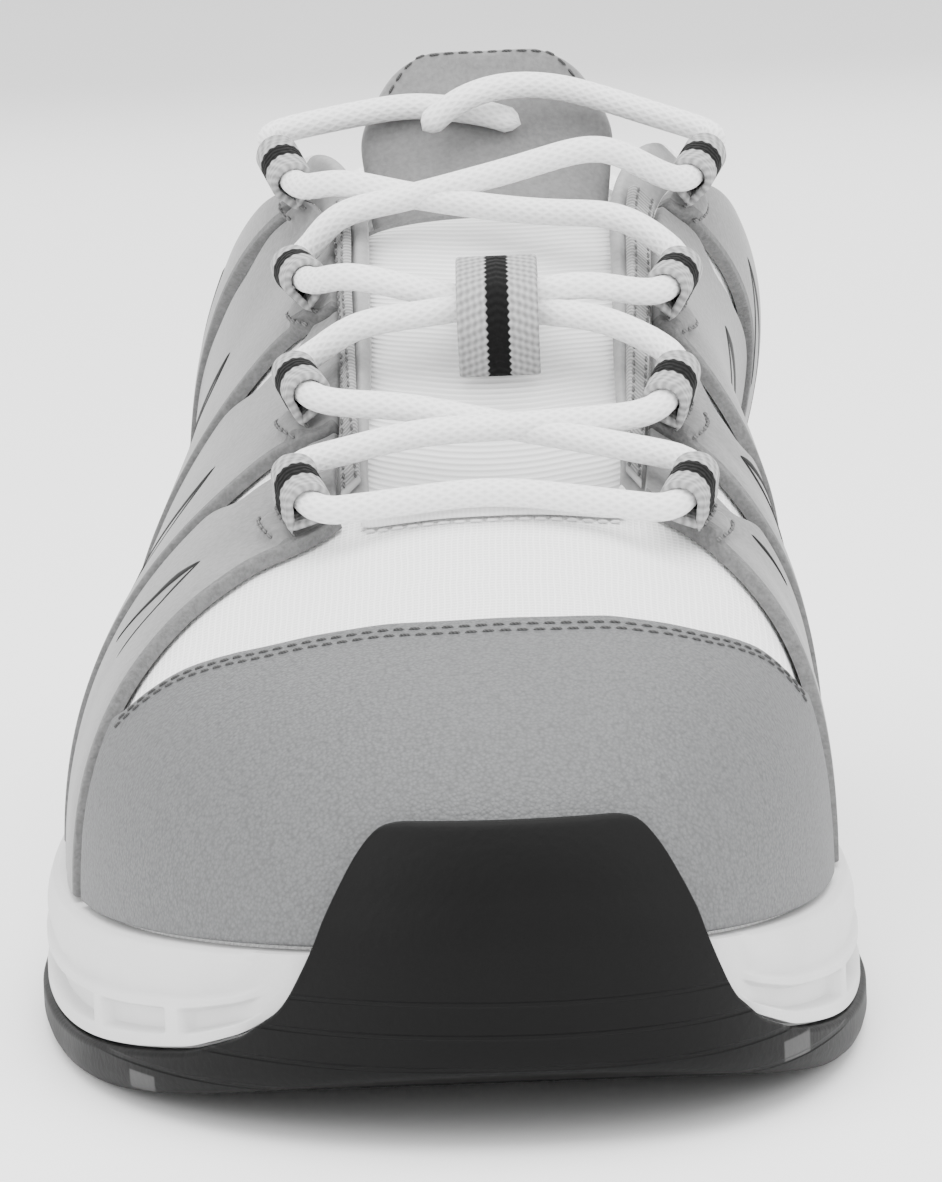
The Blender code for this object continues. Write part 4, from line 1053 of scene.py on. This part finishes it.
def places_near(loop, a, o):
    """Places on the upper at given lengths along and outboard of a loop, by Newton steps on its plane."""
    foot, along, outboard, _ = loop_frame(loop)
    u = np.full(len(a), side_sign(loop.side) * loop.place)
    v = np.full(len(a), loop.reach)
    for _ in range(5):
        here = surface(u, v, overlay_gap) - foot
        off = np.stack([a - here @ along, o - here @ outboard], axis=-1)
        by_u = (surface(u + 0.01, v, overlay_gap) - foot - here) / 0.01
        by_v = (surface(u, v + 0.005, overlay_gap) - foot - here) / 0.005
        slopes = np.stack([np.stack([by_u @ axis, by_v @ axis], -1) for axis in (along, outboard)], -2)
        step = np.linalg.solve(slopes, off[..., None])[..., 0]
        u = u + np.clip(step[:, 0], -0.3, 0.3)
        v = v + np.clip(step[:, 1], -0.05, 0.05)
    return u, v


felt_width = 0.0015
front_lines = np.array([0.0, 0.02, 0.07, 0.16, 0.27, 0.4, 0.7, 1.0, 1.25, 1.49, 1.51, 1.8, 2.3]) / 1000


def band_grid(band, following, rows, shares):
    """Places of a band's points: each row runs from its own front edge to the next band's, less a window.

    The first columns lie at set lengths behind the front edge, square to it, and the rest share what is left.
    """
    sign = side_sign(band.side)
    end = following.foot if following else counter_place
    share_up, share_back = rows[:, None], shares[None, :]
    every = np.concatenate([np.zeros(len(front_lines)), shares[1:]])[None, :]
    reach = band_levels[0] + (0.0 if following else quarter_reach - band_levels[0]) * smooth(every * 3)
    u = band.foot + (end - band.foot) * every + 0 * share_up
    for _ in range(4):
        low = overlay_foot(sign * u[0])
        v = low + (reach - low) * share_up
        front = band_front(band, v[:, :1])
        if following:
            level = v[:, -1:]
            opened = smooth((level - window_low) / window_ease) * smooth((window_high - level) / window_ease)
            back = band_front(following, level) - band_split - window * opened
        else:
            back = np.full_like(front, counter_place - band_split)
        edge = surface(sign * front, v[:, :1])
        run = unit(np.gradient(edge, axis=0))
        station = (surface(sign * (front + 0.02), v[:, :1]) - edge) / 0.02
        square = np.linalg.norm(np.cross(run, station), axis=-1)
        close = front + front_lines[None, :] / square
        rest = close[:, -1:] + (back - close[:, -1:]) * share_back[:, 1:]
        u = np.concatenate([close, rest], axis=1)
    return sign * u, v


def make_band(band, following, finishes):
    """Sheet that is thick in front and thinner behind, domed over the loop's tails. Its front is felt."""
    length = 0.018 if following else 0.075
    shares = np.concatenate([[0.0], edge_lines(44 if following else 100, length, 0.0005)[6:]])
    u, v = band_grid(band, following, edge_lines(104, 0.085, 0.0005), shares)
    every = np.concatenate([np.zeros(len(front_lines)), shares[1:]])[None, :]
    lift = band_thickness + (band_rear - band_thickness) * smooth(every * 2) + 0 * u
    for loop in loops:
        if loop.side == band.side:
            lift += oval_rise(surface(u, v, overlay_gap + band_thickness), loop)
    columns = np.arange(u.shape[1] - 1)
    felt_columns = (columns < (front_lines < felt_width).sum()).astype(int)
    slots = np.broadcast_to(felt_columns, (u.shape[0] - 1, u.shape[1] - 1))
    name = "band_%s_%d" % (band.side, band.number)
    make_sheet(name + "_microfibre", name, finishes, u, v, lift, rim=0.0004, slots=slots)


suede = Finish("light_grey_microfibre", 0.78, Sheen_Weight=0.25, Sheen_Roughness=0.5)
nap = suede.place.noise(1300.0, 2.0)
cloud = suede.place.noise(45.0, 3.0)
suede.set("Base Color", (nap * 0.5 + cloud * 0.5).between(0.3, 0.7).paint(grey(0.38), grey(0.46)))
suede.set("Roughness", cloud * 0.15 + 0.70)
suede.bump(nap, 0.00008)

felt = Finish("dark_felt_core", 0.9)
fibre = felt.place.noise(900.0, 3.0)
blotch = felt.place.noise(2200.0, 2.0)
felt.set("Base Color", (fibre * 0.5 + blotch * 0.5).between(0.3, 0.7).paint(grey(0.33), grey(0.41)))
felt.bump(fibre * 0.5 + blotch * 0.5, 0.00025)

for band, following in zip(bands, bands[1:] + [None]):
    if following and following.side != band.side:
        following = None
    make_band(band, following, [suede, felt])

# Each tail is held under its band by an oval of stitching: two arcs that bend outboard.
arc_half = 0.0043
arc_places = ((0.0030, 0.0005), (0.0056, 0.0008))
for loop in loops:
    arcs = []
    for middle_out, bend in arc_places:
        a = np.linspace(-arc_half, arc_half, 30)
        arc_u, arc_v = places_near(loop, a, middle_out + bend * (1 - (a / arc_half) ** 2))
        rise = oval_rise(surface(arc_u, arc_v, overlay_gap + band_thickness), loop)
        arcs.append(seam_on(arc_u, arc_v, overlay_gap + band_thickness * 0.97 + rise))
    name = "band_%s_%d" % (loop.side, loop.number)
    make_stitches(name + "_oval_stitches", name, pale_thread, arcs,
                  pitch=0.0014, length=0.0012, radius=0.00032)

# Black needle-shaped accents are printed on the bands, two legs from one point.
print_bulge = 0.00012
print_lift = 0.00004
Needle = namedtuple("Needle", "band width places")
needles = [
    Needle("lateral_1", 0.00120, [(-4.90, 0.59), (-5.04, 0.52), (-5.14, 0.45), (-5.36, 0.35)]),
    Needle("lateral_1", 0.00070, [(-4.90, 0.59), (-4.87, 0.53), (-4.87, 0.47), (-4.98, 0.36)]),
    Needle("lateral_2", 0.00120, [(-6.50, 0.56), (-6.53, 0.47), (-6.64, 0.37), (-6.88, 0.24)]),
    Needle("lateral_2", 0.00070, [(-6.50, 0.56), (-6.38, 0.48), (-6.31, 0.41), (-6.42, 0.31)]),
    Needle("lateral_3", 0.00120, [(-8.17, 0.63), (-8.34, 0.54), (-8.61, 0.46), (-8.92, 0.33)]),
    Needle("lateral_3", 0.00070, [(-8.17, 0.63), (-8.17, 0.55), (-8.34, 0.48), (-8.56, 0.38)]),
    Needle("lateral_4", 0.00120, [(-9.75, 0.84), (-9.87, 0.75), (-10.05, 0.67), (-10.28, 0.56)]),
    Needle("medial_1", 0.00070, [(4.95, 0.60), (5.03, 0.52), (5.07, 0.45)]),
    Needle("medial_2", 0.00120, [(5.75, 0.66), (5.92, 0.59), (6.10, 0.49), (6.22, 0.38)]),
    Needle("medial_2", 0.00070, [(5.75, 0.66), (5.80, 0.58), (5.86, 0.49), (5.92, 0.41)]),
    Needle("medial_3", 0.00120, [(8.00, 0.66), (8.26, 0.59), (8.56, 0.50), (8.88, 0.42)]),
    Needle("medial_3", 0.00070, [(8.00, 0.66), (8.09, 0.58), (8.22, 0.51), (8.37, 0.43)]),
    Needle("medial_4", 0.00120, [(9.00, 0.76), (9.26, 0.67), (9.53, 0.59), (9.88, 0.48)]),
    Needle("medial_4", 0.00070, [(9.00, 0.76), (9.06, 0.68), (9.15, 0.60), (9.28, 0.53)]),
]


def make_needle(name, needle, finish):
    """Thin lens on the band along a way of places. Its width grows fast from the point and fades slowly."""
    way = curve_through(np.array(needle.places), [10] * (len(needle.places) - 1))
    share = np.linspace(0.0, 1.0, len(way))
    up = surface_normal(way[:, 0], way[:, 1])
    place = surface(way[:, 0], way[:, 1], overlay_gap + band_rear)
    place = place + up * (band_thickness - band_rear) * needle_lift(needle, way)[:, None]
    side = unit(np.cross(np.gradient(place, axis=0), up))
    half = needle.width * np.minimum(share * 3.0, (1 - share) * 1.3) ** 0.6
    across = np.linspace(-1.0, 1.0, 7)[None, :, None]
    over = place[:, None] + side[:, None] * half[:, None, None] * across
    bulge = (1 - across ** 2) * print_bulge * np.minimum(1.0, half / 0.0002)[:, None, None]
    top, under = (over + up[:, None] * (print_lift + sign * bulge) for sign in (1, -1))
    points, quads = two_faces(top, under)
    show(name, points, quads, "band_" + needle.band, [finish])


def needle_lift(needle, way):
    """Share of the band's extra front thickness at each place, as the band's own grid gives it."""
    side, number = needle.band.split("_")
    rank = [(one.side, one.number) for one in bands].index((side, int(number)))
    band = bands[rank]
    last = number == "4"
    front = band_front(band, way[:, 1])
    end = counter_place if last else band_front(bands[rank + 1], way[:, 1])
    return 1 - smooth(2 * (np.abs(way[:, 0]) - front) / (end - front))


def curve_through(rows, counts):
    """Rows on a Catmull-Rom curve through the given rows, with a number of steps to each span."""
    rows = np.asarray(rows, dtype=float)
    padded = np.concatenate([[2 * rows[0] - rows[1]], rows, [2 * rows[-1] - rows[-2]]])
    made = []
    for i, count in enumerate(counts):
        p0, p1, p2, p3 = padded[i:i + 4]
        t = (np.arange(count) / count).reshape(-1, *[1] * (rows.ndim - 1))
        turn = (p2 - p0) * t + (2 * p0 - 5 * p1 + 4 * p2 - p3) * t ** 2 + (3 * p1 - p0 - 3 * p2 + p3) * t ** 3
        made.append(p1 + turn / 2)
    return np.concatenate([*made, rows[-1:]])


black_print = Finish("black_print", 0.6, Specular_IOR_Level=0.2)
black_print.set("Base Color", black_print.place.noise(600.0).paint(grey(0.03), grey(0.06)))
for rank, needle in enumerate(needles):
    make_needle("band_%s_accent_%d" % (needle.band, rank), needle, black_print)

# Heel counter
# Grey microfibre overlay round the heel, welded on and stitched along its top edge.
counter_thickness = 0.0012
counter_peak = 0.16
counter_seam_insets = (0.03, 0.055)
counter_u = np.linspace(counter_place, round_trip - counter_place, 150)
counter_low = overlay_foot(counter_u)
counter_rise = smooth(1 - np.abs(counter_u - last_row) / (last_row - counter_place))
counter_top = counter_reach + counter_peak * counter_rise
counter_v = counter_low + (counter_top - counter_low) * edge_lines(40, 0.045, sheet_rim)[:, None]
counter_grid = np.broadcast_to(counter_u, counter_v.shape)
make_sheet("heel_counter_overlay", "heel_counter", [suede], counter_grid, counter_v,
           counter_thickness)
counter_lift = overlay_gap + counter_thickness
counter_seams = [
    seam_on(counter_u[3:-3], counter_top[3:-3] - inset, counter_lift) for inset in counter_seam_insets
]
make_stitches("heel_counter_stitches", "heel_counter", thread, counter_seams)

# Throat tapes and lip
# A narrow grey tape is stitched down each side of the throat. The front of the throat is a rolled white edge,
# turned over a cord and sewn down.
tape_thickness = 0.0012
tape_reach = (4.2, 7.9)
tape_low = 0.94
tape_rise = 0.055
tape_seams = (0.953, 0.984)
tape_cloth = Finish("grey_throat_tape", 0.85)
weft = tape_cloth.cloth.part("X").wave(0.0008)
tape_cloth.weave(weft, 0.50, 0.64, 0.00015)
for side in ("lateral", "medial"):
    tape_u = side_sign(side) * np.linspace(*tape_reach, 120)
    tape_v = tape_low + tape_rise * edge_lines(10, 0.003, sheet_rim)[:, None]
    tape_u, tape_v = np.broadcast_arrays(tape_u[None, :], tape_v)
    name = "throat_tape_" + side
    make_sheet(name + "_strip", name, [tape_cloth], tape_u, tape_v, tape_thickness)
    seams = [seam_on(tape_u[0], v, overlay_gap + tape_thickness) for v in tape_seams]
    make_stitches(name + "_stitches", name, pale_thread, seams, pitch=0.0020, length=0.0015)

lip_reach = 3.1
lip_low = 0.955
lip_rise = 0.04
rolled = Finish("white_rolled_edge", 0.8)
weave = rolled.cloth.part("X").wave(0.0006) * 0.5 + rolled.cloth.part("Y").wave(0.0006) * 0.5
rolled.weave(weave, 0.88, 0.95, 0.00008)
lip_u = np.linspace(-lip_reach, lip_reach, 140)[None, :]
lip_share = np.linspace(0.0, 1.0, 21)[:, None]
lip_u, lip_v = np.broadcast_arrays(lip_u, lip_low + lip_rise * lip_share)
lip_lift = tape_thickness * 1.25 * np.sin(np.pi * lip_share) ** 0.6 + 0 * lip_u
make_sheet("throat_lip_roll", "throat_lip", [rolled], lip_u, lip_v, lip_lift, rim=0.0004)
lip_thread = Finish("white_thread", 0.75)
lip_thread.set("Base Color", lip_thread.place.noise(600.0).paint(grey(0.78), grey(0.88)))
make_stitches("throat_lip_stitches", "throat_lip", lip_thread,
              [seam_on(np.linspace(-2.9, 2.9, 90), 0.950, 0.0002)], pitch=0.0022, length=0.0018)

# Tongue
# Padded tongue sewn in under the vamp. The lower part is white ribbed textile. The upper part is light grey
# microfibre with a dark cut lower edge, and a bound, stitched border round its top.
tongue_thickness = 0.0045
tongue_border = 0.0022
pad_row = 61
pad_step = 0.0007
tongue_arch = 0.38
TopRow = namedtuple("TopRow", "along height half_width arch")
tongue_top = [
    TopRow(0.5364, 0.903, 0.95, 0.20),
    TopRow(0.5563, 0.943, 1.00, 0.19),
    TopRow(0.5728, 0.987, 1.04, 0.17),
    TopRow(0.5861, 1.035, 1.06, 0.15),
    TopRow(0.5960, 1.080, 0.92, 0.11),
    TopRow(0.6010, 1.111, 0.72, 0.06),
    TopRow(0.6036, 1.126, 0.42, 0.03),
]


def across_throat(row, depth, steps):
    """Curve from one throat edge to the other: a Hermite arc that leaves each side as the upper slopes."""
    left = [surface(-row, v, -depth) for v in (0.86, 0.96)]
    right = [surface(row, v, -depth) for v in (0.86, 0.96)]
    width = np.linalg.norm(right[1] - left[1])
    leave = unit(left[1] - left[0]) * width
    arrive = unit(right[0] - right[1]) * width
    t = np.linspace(0.0, 1.0, steps)[:, None]
    bend = (leave * (t ** 3 - 2 * t ** 2 + t) + arrive * (t ** 3 - t ** 2)) * tongue_arch
    arc = left[1] * (2 * t ** 3 - 3 * t ** 2 + 1) + right[1] * (3 * t ** 2 - 2 * t ** 3) + bend
    return np.vstack([left[0], arc, right[0]])


def grid_normals(grid):
    """Unit vector out of each point of a grid, from the steps to its neighbours."""
    return unit(np.cross(np.gradient(grid, axis=1), np.gradient(grid, axis=0)))


def tongue_surface(across=63):
    """Top side of the tongue: tucked under the vamp, arched over the throat, then free above it."""
    depth = upper_wall + 2 * gap
    rows = [surface(np.linspace(-reach, reach, across), v, -depth) for reach, v in ((2.4, 0.86), (3.1, 0.95))]
    for row in (4.1, 5.0, 6.0, 7.0, 7.6):
        rows.append(across_throat(row, depth, across - 2))
    side = np.linspace(-1.0, 1.0, across)
    for row in tongue_top:
        fall = throat_half * row.arch * side ** 2
        x = throat_shift + throat_half * row.half_width * side
        rows.append(np.stack([x, y_at(row.along) + fall, instep_height * row.height - fall], axis=1))
    return curve_through(rows, [10] * 7 + [12] * 6)


def make_tongue(ribbed, pad, cut_edge):
    """The middle surface moved both ways by half the thickness, which falls to nothing round the border."""
    middle = tongue_surface()
    normal = grid_normals(middle)
    middle = middle - normal * tongue_thickness / 2
    border = quarter_round(border_distance(middle), tongue_border)
    half = tongue_thickness / 2 * border
    over = middle + normal * half[..., None]
    step = pad_step * smooth((np.arange(len(middle)) - pad_row) / 0.8)
    over += normal * (step[:, None] * border)[..., None]
    points, quads = two_faces(over, middle - normal * half[..., None])
    uv = loop_uv(lengths_uv(over)).reshape(-1, 2)
    face_row = np.repeat(np.arange(len(middle) - 1), middle.shape[1] - 1)
    slots = np.select([face_row == pad_row, face_row > pad_row], [2, 1], 0)
    show("tongue_padded_cloth", points, quads, "tongue", [ribbed, pad, cut_edge],
         uv=np.concatenate([uv, uv]), slots=np.concatenate([slots, np.zeros_like(slots)]), sharp=60.0)
    return over


ribbed = Finish("white_ribbed_textile", 0.8)
rib = ribbed.cloth.part("Y").wave(0.00115)
yarn = ribbed.place.noise(800.0)
ribbed.set("Base Color", rib.paint(grey(0.84), grey(0.93)))
ribbed.bump(rib * 0.8 + yarn * 0.2, 0.0003)
tongue_skin = make_tongue(ribbed, suede, felt)
skin_normals = grid_normals(tongue_skin)


def border_way(grid):
    """Points up one side of a grid, across its top and down the other side, a few lines inside its border."""
    return np.concatenate([grid[-30:-8, 5], grid[-8, 5:-5], grid[-30:-8, -6][::-1]])


# One row of stitches holds the pad's lower edge, and another its border, which is turned over.
welt_seam = (tongue_skin[pad_row + 3][4:-4], skin_normals[pad_row + 3][4:-4])
make_stitches("tongue_welt_stitches", "tongue", thread, [welt_seam], pitch=0.0024, length=0.0018)
border_seam = (border_way(tongue_skin), border_way(skin_normals))
make_stitches("tongue_border_stitches", "tongue", thread, [border_seam])

# Lace loops and keeper
# Loops and keeper are cut from one grey webbing with a black stripe woven down its middle. Each loop is
# folded round the lace, and its tails are sewn in under the band. The keeper is sewn across the tongue.
keeper_width = 0.0115


def strap_profile(half):
    """Closed outline across a strap: its top from one round edge to the other, and its underside back."""
    thick = webbing_thickness / 2
    x = np.linspace(-1.0, 1.0, 33)
    x = np.sign(x) * (1 - (1 - np.abs(x)) ** 1.4)
    round_edge = np.sqrt(1 - np.clip((np.abs(x) * half - (half - thick)) / thick, 0, 1) ** 2)
    top = np.stack([x * half, thick * round_edge], axis=1)
    return np.concatenate([top, (top * (1, -1))[-2:0:-1]])


def show_tube(name, node, finish, rings, cloth):
    """Piece from closed rings one after another, with both grids of its cloth coordinates."""
    quads = grid_quads(*rings.shape[:2], wrap=True)
    uv = loop_uv(np.stack(cloth, axis=-1))
    return show(name, rings, quads, node, [finish], uv=uv, sharp=80.0)


def make_keeper(path, finish):
    """Profile carried along a path, its width across the shoe. Both ends are closed by flattening it."""
    profile = strap_profile(keeper_width / 2)
    along = unit(np.gradient(path, axis=0))
    normal = unit(np.cross(along, (-1.0, 0.0, 0.0)))
    width = unit(np.cross(normal, along))
    flat = np.ones(len(path))
    flat[[0, -1]] = 0.0
    flat[[1, -2]] = 0.75
    rings = path[:, None] + width[:, None] * profile[None, :, :1]
    rings = rings + normal[:, None] * (profile[None, :, 1:] * flat[:, None, None])
    cloth = np.meshgrid(np.append(profile[:, 0], profile[0, 0]), running_length(path))
    show_tube("lace_keeper_webbing", "lace_keeper", finish, rings, cloth)


webbing = Finish("striped_webbing", 0.85, Specular_IOR_Level=0.2)
across = webbing.cloth.part("X")
lengthwise = webbing.cloth.part("Y")
chevron = (lengthwise + across.math("ABSOLUTE") * 0.4).wave(0.0012)
ends = (across + lengthwise.wave(0.0022) * 0.0002).wave(0.0009)
weave = chevron * 0.6 + ends * 0.4
jitter = (lengthwise.wave(0.0011) * 0.0003) + across.math("ABSOLUTE")
stripe = 1.0 - jitter.between(0.0016, 0.0019)
grey_yarn = weave.paint(grey(0.48), grey(0.68))
webbing.set("Base Color", stripe.paint_over(grey_yarn, grey(0.010)))
webbing.bump(weave, 0.00022)

# The way of each half of the lace from the middle of its bar, and of its two free ends, in millimetres.
way_lateral = [
    (9.2, -70.0, 73.0), (3.0, -69.6, 72.3), (-3.1, -69.3, 71.6), (-9.3, -69.0, 70.9),
    (-15.3, -68.6, 70.2), (-17.4, -61.8, 72.9), (-19.4, -55.0, 75.7), (-15.2, -54.3, 76.1),
    (-8.2, -54.4, 77.7), (-1.3, -54.5, 79.2), (5.7, -53.7, 79.3), (12.6, -52.9, 79.4),
    (19.3, -52.2, 79.6), (25.8, -51.5, 79.8), (32.3, -50.8, 80.1), (34.3, -44.1, 83.2),
    (36.3, -37.4, 86.2), (30.7, -35.8, 89.2), (24.9, -34.3, 92.2), (17.6, -31.2, 92.7),
    (8.5, -28.7, 94.2), (-0.5, -26.4, 96.1), (-11.1, -24.8, 98.9), (-13.8, -20.7, 97.8),
    (-16.5, -16.8, 96.8), (-18.6, -9.5, 97.9), (-20.8, -2.3, 99.0), (-16.6, -1.3, 99.6),
    (-14.4, -2.9, 105.5), (-4.9, -1.8, 107.0), (5.5, -1.8, 109.3), (15.3, -1.1, 111.5),
    (25.5, -1.4, 114.2), (30.0, 1.9, 111.7), (34.1, 4.6, 109.2), (38.2, 7.5, 106.9),
    (40.3, 14.4, 109.3), (42.4, 21.3, 111.7),
]
way_medial = [
    (9.2, -70.0, 73.0), (15.4, -70.3, 72.0), (21.6, -70.7, 71.0), (27.8, -71.1, 70.1),
    (33.7, -71.3, 68.9), (35.8, -64.4, 71.4), (37.9, -57.5, 73.9), (31.4, -56.1, 75.3),
    (24.8, -54.7, 76.7), (18.0, -53.3, 78.0), (11.1, -51.9, 79.4), (4.2, -50.5, 80.8),
    (-2.7, -49.1, 82.3), (-9.2, -47.0, 82.6), (-15.7, -44.9, 83.0), (-17.8, -37.8, 84.9),
    (-19.9, -30.7, 86.8), (-15.6, -30.1, 87.5), (-11.4, -31.9, 92.1), (-2.8, -31.3, 93.0),
    (5.6, -30.8, 93.9), (13.9, -30.5, 95.3), (21.9, -30.3, 96.8), (27.7, -28.4, 95.4),
    (33.5, -26.5, 94.0), (35.6, -19.4, 95.9), (37.7, -12.3, 97.7), (33.4, -11.3, 101.0),
    (28.7, -10.3, 104.6), (21.0, -7.5, 104.7), (12.6, -4.9, 105.4), (4.5, -2.6, 106.6),
    (-4.3, -0.6, 108.2), (-12.7, 1.1, 110.4), (-15.9, 4.9, 109.3), (-19.0, 8.5, 108.4),
    (-21.0, 15.3, 111.3), (-23.0, 22.0, 114.2),
]
end_lateral = [
    (-23.1, 22.3, 114.3), (-24.1, 25.5, 115.7), (-16.8, 26.1, 117.2), (-8.6, 26.2, 118.5),
    (-2.1, 25.5, 119.2), (4.1, 24.0, 118.6), (10.1, 23.1, 117.5), (14.9, 22.2, 115.7),
]
end_medial = [
    (42.5, 21.6, 111.8), (43.5, 24.9, 113.0), (34.6, 25.2, 116.3), (24.8, 24.9, 119.8),
    (18.4, 22.4, 121.6), (11.2, 19.9, 121.9), (4.5, 18.6, 119.8), (-0.8, 19.8, 115.4),
]


def ease(path, rounds):
    """Moves each inner point of a path half way to the middle of its neighbours, a number of times."""
    for _ in range(rounds):
        path[1:-1] = path[1:-1] / 2 + (path[:-2] + path[2:]) / 4


def smooth_path(points, step, rounds=10):
    """Even points on a curve through the table's points, eased."""
    path = curve_through(np.array(points) / 1000, [12] * (len(points) - 1))
    path = resampled(path, step)[0]
    ease(path, rounds)
    return path


lace_step = 0.0009
lace_rounds = 40
lace_ways = {
    "lateral": smooth_path(way_lateral, lace_step, lace_rounds),
    "medial": smooth_path(way_medial, lace_step, lace_rounds),
}
ring_clearance = 0.0002


def loop_section(radius):
    """Centre line of a strap seen along the lace: a tail under it, a turn over it, a leg down outboard."""
    turn = np.radians(np.linspace(-90.0, -350.0, 40))
    tail = np.stack([np.linspace(0.0034, 0.0002, 8), np.full(8, -radius)], axis=1)
    ring = np.stack([np.cos(turn), np.sin(turn)], axis=1) * radius
    leg = np.stack([np.linspace(1.0, 1.22, 7) * radius, np.linspace(0.0, -1.25, 7) * radius], axis=1)
    return np.concatenate([tail, ring, leg])


def make_loop(loop, way):
    """Thick outline of the strap's section carried along the lace, which bends it at its upper end."""
    foot, along, outboard, up = loop_frame(loop)
    middle = foot + up * (webbing_thickness + lace_diameter / 2 + lace_clearance)
    heelward = along if loop.side == "medial" else -along
    line = loop_section(lace_diameter / 2 + ring_clearance + webbing_thickness / 2)
    run = unit(np.gradient(line, axis=0))
    side = np.stack([run[:, 1], -run[:, 0]], axis=1)
    rim = np.array([0.9, 0.95, 0.985, 1.0])
    across = np.concatenate([-rim[::-1], np.linspace(-0.82, 0.82, 24), rim])
    thick = np.sqrt(1 - np.clip((np.abs(across) - 0.9) / 0.1, 0.0, 1.0) ** 2) * webbing_thickness / 2
    end = np.sqrt(np.clip(np.minimum(np.arange(len(line)), np.arange(len(line))[::-1]) / 2.0, 0.0, 1.0))
    middles = middle + heelward * (across * loop_width / 2)[:, None]
    nearest = np.argmin(np.linalg.norm(way - middle, axis=1))
    steps = np.round(across * loop_width / 2 / lace_step).astype(int)
    lace_there = way[np.clip(nearest + steps, 0, len(way) - 1)]
    bent = smooth((across - 0.2) / 0.6)[:, None] * 0.75
    middles = middles * (1 - bent) + lace_there * bent
    axis = unit(np.gradient(middles, axis=0))
    out = unit(outboard - axis * (axis @ outboard)[:, None])
    lift = np.cross(axis, out)
    lift = lift * np.sign(lift @ up)[:, None]
    outline = np.concatenate([np.arange(len(line)), np.arange(len(line))[-2:0:-1]])
    face = np.concatenate([np.ones(len(line)), -np.ones(len(line) - 2)])
    bulk = side[outline] * (face * end[outline])[:, None]
    shape = line[outline][None] + bulk[None] * thick[:, None, None]
    rings = middles[:, None] + out[:, None] * shape[..., :1] + lift[:, None] * shape[..., 1:]
    cloth = np.meshgrid(np.append(running_length(line)[outline], 0.0), across * loop_width / 2)
    name = "loop_%s_%d" % (loop.side, loop.number)
    show_tube(name + "_webbing", name, webbing, rings, cloth[::-1])


# The lace changes sides between the rows, so the loops of rows 4 and 2 hold the half of their own side.
other_side = {"lateral": "medial", "medial": "lateral"}
for loop in loops:
    make_loop(loop, lace_ways[loop.side if loop.number % 2 == 0 else other_side[loop.side]])

# Lace
# One white round braided cord, tied flat: a bar at the front, crossings between the rows of loops, the second
# crossing under the keeper, and both ends passed over the tongue and tucked away at the top.
cord_sides = 18
bar_reach = 24
bar_rounds = 60
end_step = 0.0010


def cord_tube(path, diameter):
    """Round tube along a path, on a frame that is carried on without twist. Its ends close to points."""
    along = unit(np.gradient(path, axis=0))
    across = unit(np.cross(along, (0.0, 0.0, 1.0)))
    up = np.cross(across, along)
    girth = np.ones(len(path))
    girth[[0, -1]] = 0.0
    girth[[1, -2]] = 0.7
    turn = np.linspace(0.0, 2 * np.pi, cord_sides, endpoint=False)[None, :, None]
    ring = across[:, None] * np.cos(turn) + up[:, None] * np.sin(turn)
    return path[:, None] + ring * (girth * diameter / 2)[:, None, None]


def make_cord(name, node, path, finish):
    """Braided cord with its turn and its length as cloth coordinates."""
    rings = cord_tube(path, lace_diameter)
    cloth = np.meshgrid(np.linspace(0.0, 1.0, rings.shape[1] + 1), running_length(path))
    return show_tube(name, node, finish, rings, cloth)


braid = Finish("white_braided_cord", 0.8)
turned = braid.cloth.part("X") * 10.0
run = braid.cloth.part("Y") * (1 / 0.0021)
strands = (turned + run).wave(1.0).math("MAXIMUM", (turned - run).wave(1.0))
braid.weave(strands, 0.84, 0.93, 0.00010)
whole = np.concatenate([lace_ways["medial"][::-1], lace_ways["lateral"][1:]])
bar_middle = len(lace_ways["medial"]) - 1
ease(whole[bar_middle - bar_reach:bar_middle + bar_reach + 1], bar_rounds)
make_cord("lace_cord", "lace", whole, braid)
for side, points in (("lateral", end_lateral), ("medial", end_medial)):
    path = smooth_path(points, end_step)
    name = "lace_end_" + side
    end = make_cord(name + "_cord", name, path, braid)

# The keeper's way, in millimetres: up from the tongue in front, over the second crossing, and down behind.
knots = [
    (10.3, -31.4, 84.2), (10.3, -33.2, 85.8), (10.3, -35.7, 91.1), (10.3, -35.0, 95.9),
    (10.3, -32.6, 98.0), (10.3, -28.8, 99.7), (10.3, -25.3, 99.6), (10.4, -18.3, 92.9),
    (10.4, -14.7, 94.2),
]
make_keeper(curve_through(np.array(knots) / 1000, [6] * (len(knots) - 1)), webbing)
